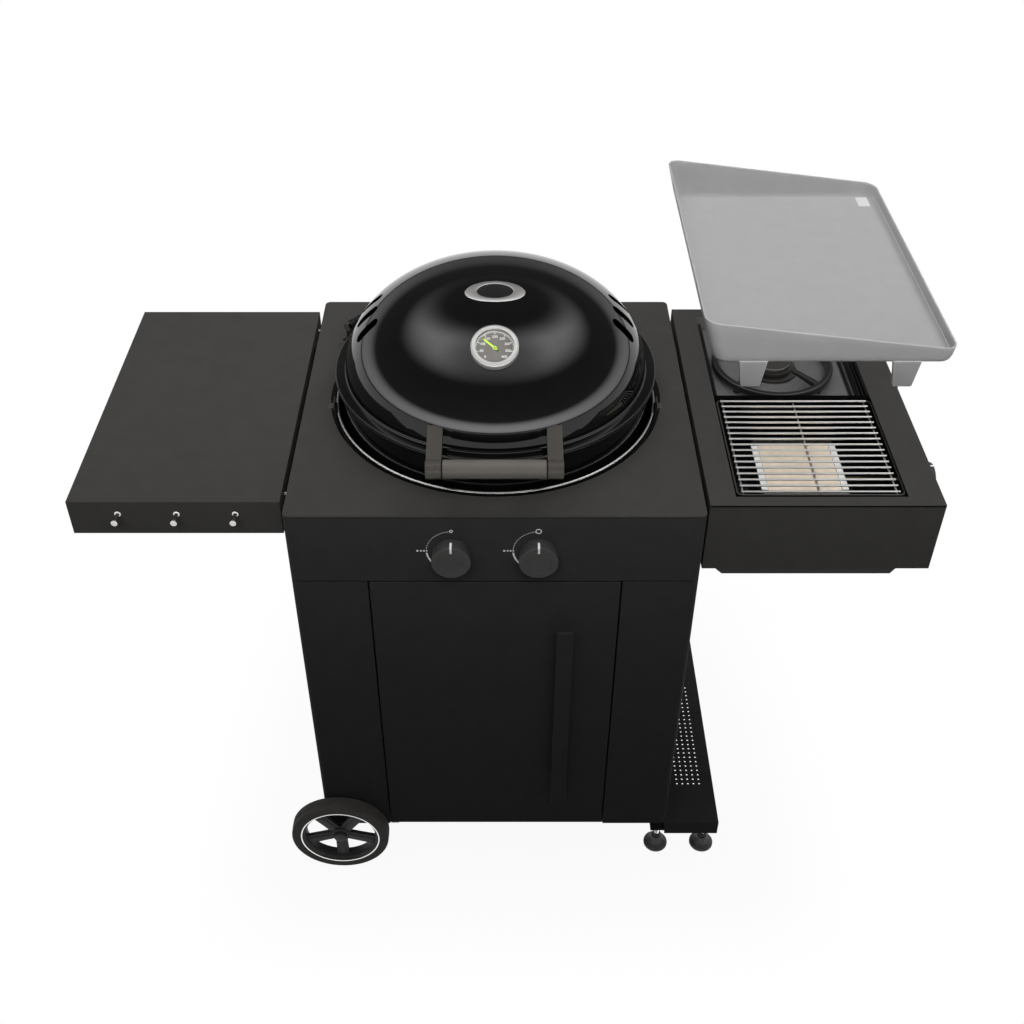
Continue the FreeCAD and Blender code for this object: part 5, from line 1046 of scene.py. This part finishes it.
GRID_BARS, GRID_BAR_R, GRID_ROD_R = 17, 2.0 * MM, 1.6 * MM
GRID_BAR_Z, GRID_ROD_Z = PLATE_TOP - 4.0 * MM, PLATE_TOP - 8.0 * MM
GRID_ROD_IN = 4.0 * MM


def make_grid():
    """Smooth bars on three cross rods."""
    low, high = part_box("side_grid")
    first, last = at(0, BAY_Y0 + 18, 0).y, at(0, BAY_Y1 - 5, 0).y
    pieces = []
    for i in range(GRID_BARS):
        y = first + (last - first) * i / (GRID_BARS - 1)
        pieces.append(rod("bar", (low.x, y, GRID_BAR_Z), (high.x, y, GRID_BAR_Z), GRID_BAR_R, WIRE))
    for x in (low.x + GRID_ROD_IN, (low.x + high.x) / 2, high.x - GRID_ROD_IN):
        pieces.append(rod("cross", (x, low.y, GRID_ROD_Z), (x, high.y, GRID_ROD_Z), GRID_ROD_R, WIRE))
    dress(joined("grid_bars", pieces), "grid", "stainless", "side_grid")


STAND_ARMS, STAND_RING_W, STAND_ARM_END = 4, 13.0, 46.0


def make_pot_stand():
    """Cast ring with tapering arms that curve up to the pot."""
    low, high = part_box("pot_stand")
    centre = (low + high) / 2
    r, tall = (high.x - low.x) / 2 / MM, (high.z - low.z) / MM
    here = facing(Vector((centre.x, centre.y, low.z)))
    inside = r - STAND_RING_W
    ring = rounded([(inside, 7, 3), (r, 7, 2), (r, 20, 4), (inside, 20, 4)], 0, 4, True)
    # Distance from the middle, underside, top and half width along an arm
    rows = [(r - 1.5, 8, 19, 6.5), (inside, 8, 20, 6.0), (r - 24, 10, 21, 5.6), (r - 40, 13, 22, 5.2),
            (r - 55, 15.5, tall, 5.0), (STAND_ARM_END + 4, 16.2, tall, 4.8),
            (STAND_ARM_END, 17.5, tall - 1.5, 4.0)]
    arm = []
    for x, a, b, half in rows:
        outline = rounded([(-half, a, 1.4), (half, a, 1.4), (half, b, 2.2), (-half, b, 2.2)], 0, 4, True)
        arm.append([(x, y, z) for y, z in outline])
    pieces = [lathe("ring", ring, IRON, here, 128, closed=True)]
    for i in range(STAND_ARMS):
        turn = here @ Matrix.Rotation(radians(45 + 360 / STAND_ARMS * i), 4, "Z")
        pieces.append(block("foot", (r - 12, -5, 0.1), (r - 1, 5, 9), IRON, 1.2, 2, turn))
        pieces.append(loft("arm", arm, IRON, turn))
    dress(joined("pot_support", pieces), "stand", "black_iron", "pot_stand")


make_recess()
make_bay_lip()
make_hob_ledges()
make_module_shade_line()
make_ir_burner()
make_grid()
make_pot_stand()


# Camera at the photograph's place

LENS, SENSOR, SHIFT_X = 43.96, 36.0, 0.0091
CAMERA_FROM_EDGE = (12.9, -1539.1, 1307.8)
CAMERA_PITCH = 40.15


def set_camera():
    """Camera above and in front of the worktop's front edge, looking down at its photographed angle."""
    camera = bpy.data.cameras.new("camera")
    camera.lens = LENS
    camera.sensor_width = SENSOR
    camera.shift_x = SHIFT_X
    holder = new_object("camera", camera)
    holder.location = at(0, 0, TOP) + Vector(CAMERA_FROM_EDGE) * MM
    holder.rotation_euler = (radians(90 - CAMERA_PITCH), 0, 0)
    bpy.context.scene.camera = holder


set_camera()


# Studio

# Light of the band near the horizon: sine of the height and share of the full level
BAND_STOPS = [(0.0, 0.0), (0.004, 0.0), (0.02, 0.9), (0.10, 1.0), (0.19, 0.8), (0.29, 0.03), (1.0, 0.0)]
BAND_FRONT = 5.0
BAND_BACK = 0.15
BAND_SOFT = 0.02
AMBIENT = 0.06
# Overhead panel, the gap in it and its dimmer middle: degrees right of the front, up, wide and tight
PANEL_LOBE = (180, 73, 48, 25)
GAP_LOBE = (180, 50, 34, 17)
MIDDLE_LOBE = (0, 82, 34, 8)
MIDDLE_DIM = 0.6
PANEL = 2.0
PANEL_SHOWN = 3.0
# Lamp, its place and aim in the cabinet's millimetres, size in metres, watts and spread in degrees
LAMPS = [("front_lamp", (0, -1100, 2300), (0, 150, 1425), (3.2, 0.8), 10.6, 60),
         ("top_lamp", (250, 1400, 2900), (60, 300, 925), (2.6, 1.6), 27.5, 180)]
WHITE = (1, 1, 1, 1)
FLOOR_DARK = (0.04, 0.04, 0.04, 1)
FLOOR_PALE = (0.95, 0.95, 0.95, 1)
FLOOR_HALF = 60.0
SHADOW_SHARE, SHADOW_FADE = 0.06, 0.35
SHADOW_FROM, SHADOW_TO = (-345, 0, 0), (455, 672, 0)


def combine(tree, a, b, operation="MULTIPLY"):
    """Two values combined; either may be a plain number."""
    node = node_of(tree, "Math", operation=operation)
    for socket, value in zip(node.inputs, (a, b)):
        if isinstance(value, (int, float)):
            socket.default_value = value
        else:
            tree.links.new(value, socket)
    return node.outputs["Value"]


def split_place(tree, output):
    """Outlets for X, Y and Z of a texture coordinate."""
    coords = node_of(tree, "TexCoord")
    split = node_of(tree, "SeparateXYZ")
    tree.links.new(coords.outputs[output], split.inputs["Vector"])
    return split.outputs


def mix_shaders(tree, share, first, second):
    """Two shaders mixed by a share of the second."""
    mix = node_of(tree, "MixShader")
    for socket, value in zip(mix.inputs, (share, first, second)):
        tree.links.new(value, socket)
    return mix.outputs["Shader"]


def plain_shader(tree, kind, colour):
    """A shader of one colour."""
    node = node_of(tree, kind)
    fill(node, Color=colour)
    return node.outputs[0]


def lobe(tree, azimuth, elevation, wide, tight):
    """A soft round glow of the sky, from 0 at its wide edge to 1 at its tight one."""
    a, e = radians(azimuth), radians(elevation)
    direction = Vector((sin(a) * cos(e), -cos(a) * cos(e), sin(e))).normalized()
    coords = node_of(tree, "TexCoord")
    toward = node_of(tree, "VectorMath", operation="DOT_PRODUCT")
    toward.inputs[1].default_value = direction
    tree.links.new(coords.outputs["Generated"], toward.inputs[0])
    return remap(tree, toward.outputs["Value"], True, From_Min=cos(radians(wide)),
                 From_Max=cos(radians(tight)))


def set_world():
    """Dim room with a bright band near the horizon and soft overhead panels; plain white to the camera."""
    scene = bpy.context.scene
    scene.view_settings.view_transform = "Standard"
    world = bpy.data.worlds.new("studio")
    scene.world = world
    world.use_nodes = True
    tree = world.node_tree
    tree.nodes.clear()
    place = split_place(tree, "Generated")
    path = node_of(tree, "LightPath").outputs
    band = node_of(tree, "ValToRGB")
    while len(band.color_ramp.elements) < len(BAND_STOPS):
        band.color_ramp.elements.new(0.5)
    for element, (height, value) in zip(band.color_ramp.elements, BAND_STOPS):
        element.position = height
        element.color = (value, value, value, 1)
    tree.links.new(place["Z"], band.inputs["Fac"])
    front = remap(tree, place["Y"], From_Min=-1.0, To_Min=BAND_FRONT, To_Max=BAND_BACK)
    share = remap(tree, path["Is Glossy Ray"], To_Min=BAND_SOFT, To_Max=1.0)
    total = combine(tree, combine(tree, band.outputs["Color"], front), share)
    gap = combine(tree, 1.0, lobe(tree, *GAP_LOBE), "SUBTRACT")
    middle = combine(tree, lobe(tree, *MIDDLE_LOBE), MIDDLE_DIM)
    gap = combine(tree, gap, combine(tree, 1.0, middle, "SUBTRACT"))
    level = remap(tree, path["Is Glossy Ray"], To_Min=PANEL, To_Max=PANEL_SHOWN)
    panel = combine(tree, combine(tree, lobe(tree, *PANEL_LOBE), gap), level)
    total = combine(tree, total, panel, "ADD")
    sky = node_of(tree, "Background")
    tree.links.new(combine(tree, total, AMBIENT, "ADD"), sky.inputs["Color"])
    plain = plain_shader(tree, "Background", WHITE)
    seen = combine(tree, path["Is Camera Ray"], path["Is Transmission Ray"], "MAXIMUM")
    out = node_of(tree, "OutputWorld")
    tree.links.new(mix_shaders(tree, seen, sky.outputs["Background"], plain), out.inputs["Surface"])


def set_lamps():
    """Soft rectangular lamps that show neither to the camera nor in reflections."""
    for name, place, aim, size, power, spread in LAMPS:
        light = bpy.data.lights.new(name, "AREA")
        light.shape = "RECTANGLE"
        light.size, light.size_y = size
        light.energy = power
        light.spread = radians(spread)
        holder = new_object(name, light)
        holder.location = at(*place)
        holder.rotation_euler = (at(*aim) - holder.location).to_track_quat("-Z", "Y").to_euler()
        holder.visible_glossy = False
        holder.visible_camera = False


def set_floor():
    """Plain white floor that keeps a faint shadow round the grill."""
    material, tree = new_material("floor")
    material.cycles.emission_sampling = "NONE"
    tree.nodes.clear()
    place = split_place(tree, "Object")
    path = node_of(tree, "LightPath").outputs
    near = SHADOW_SHARE
    low, high = at(*SHADOW_FROM), at(*SHADOW_TO)
    for axis, first, last in (("X", low.x, high.x), ("Y", low.y, high.y)):
        for edge, out in ((first, -SHADOW_FADE), (last, SHADOW_FADE)):
            near = combine(tree, remap(tree, place[axis], True, From_Min=edge + out, From_Max=edge), near)
    shown = mix_shaders(tree, near, plain_shader(tree, "Emission", WHITE),
                        plain_shader(tree, "BsdfDiffuse", FLOOR_PALE))
    seen = combine(tree, path["Is Camera Ray"], path["Is Glossy Ray"], "MAXIMUM")
    seen = combine(tree, seen, path["Is Transmission Ray"], "MAXIMUM")
    dark = plain_shader(tree, "BsdfDiffuse", FLOOR_DARK)
    out = node_of(tree, "OutputMaterial")
    tree.links.new(mix_shaders(tree, seen, dark, shown), out.inputs["Surface"])
    bm = bmesh.new()
    bmesh.ops.create_grid(bm, x_segments=1, y_segments=1, size=FLOOR_HALF)
    finish_mesh("floor", bm, material)


set_world()
set_lamps()
set_floor()
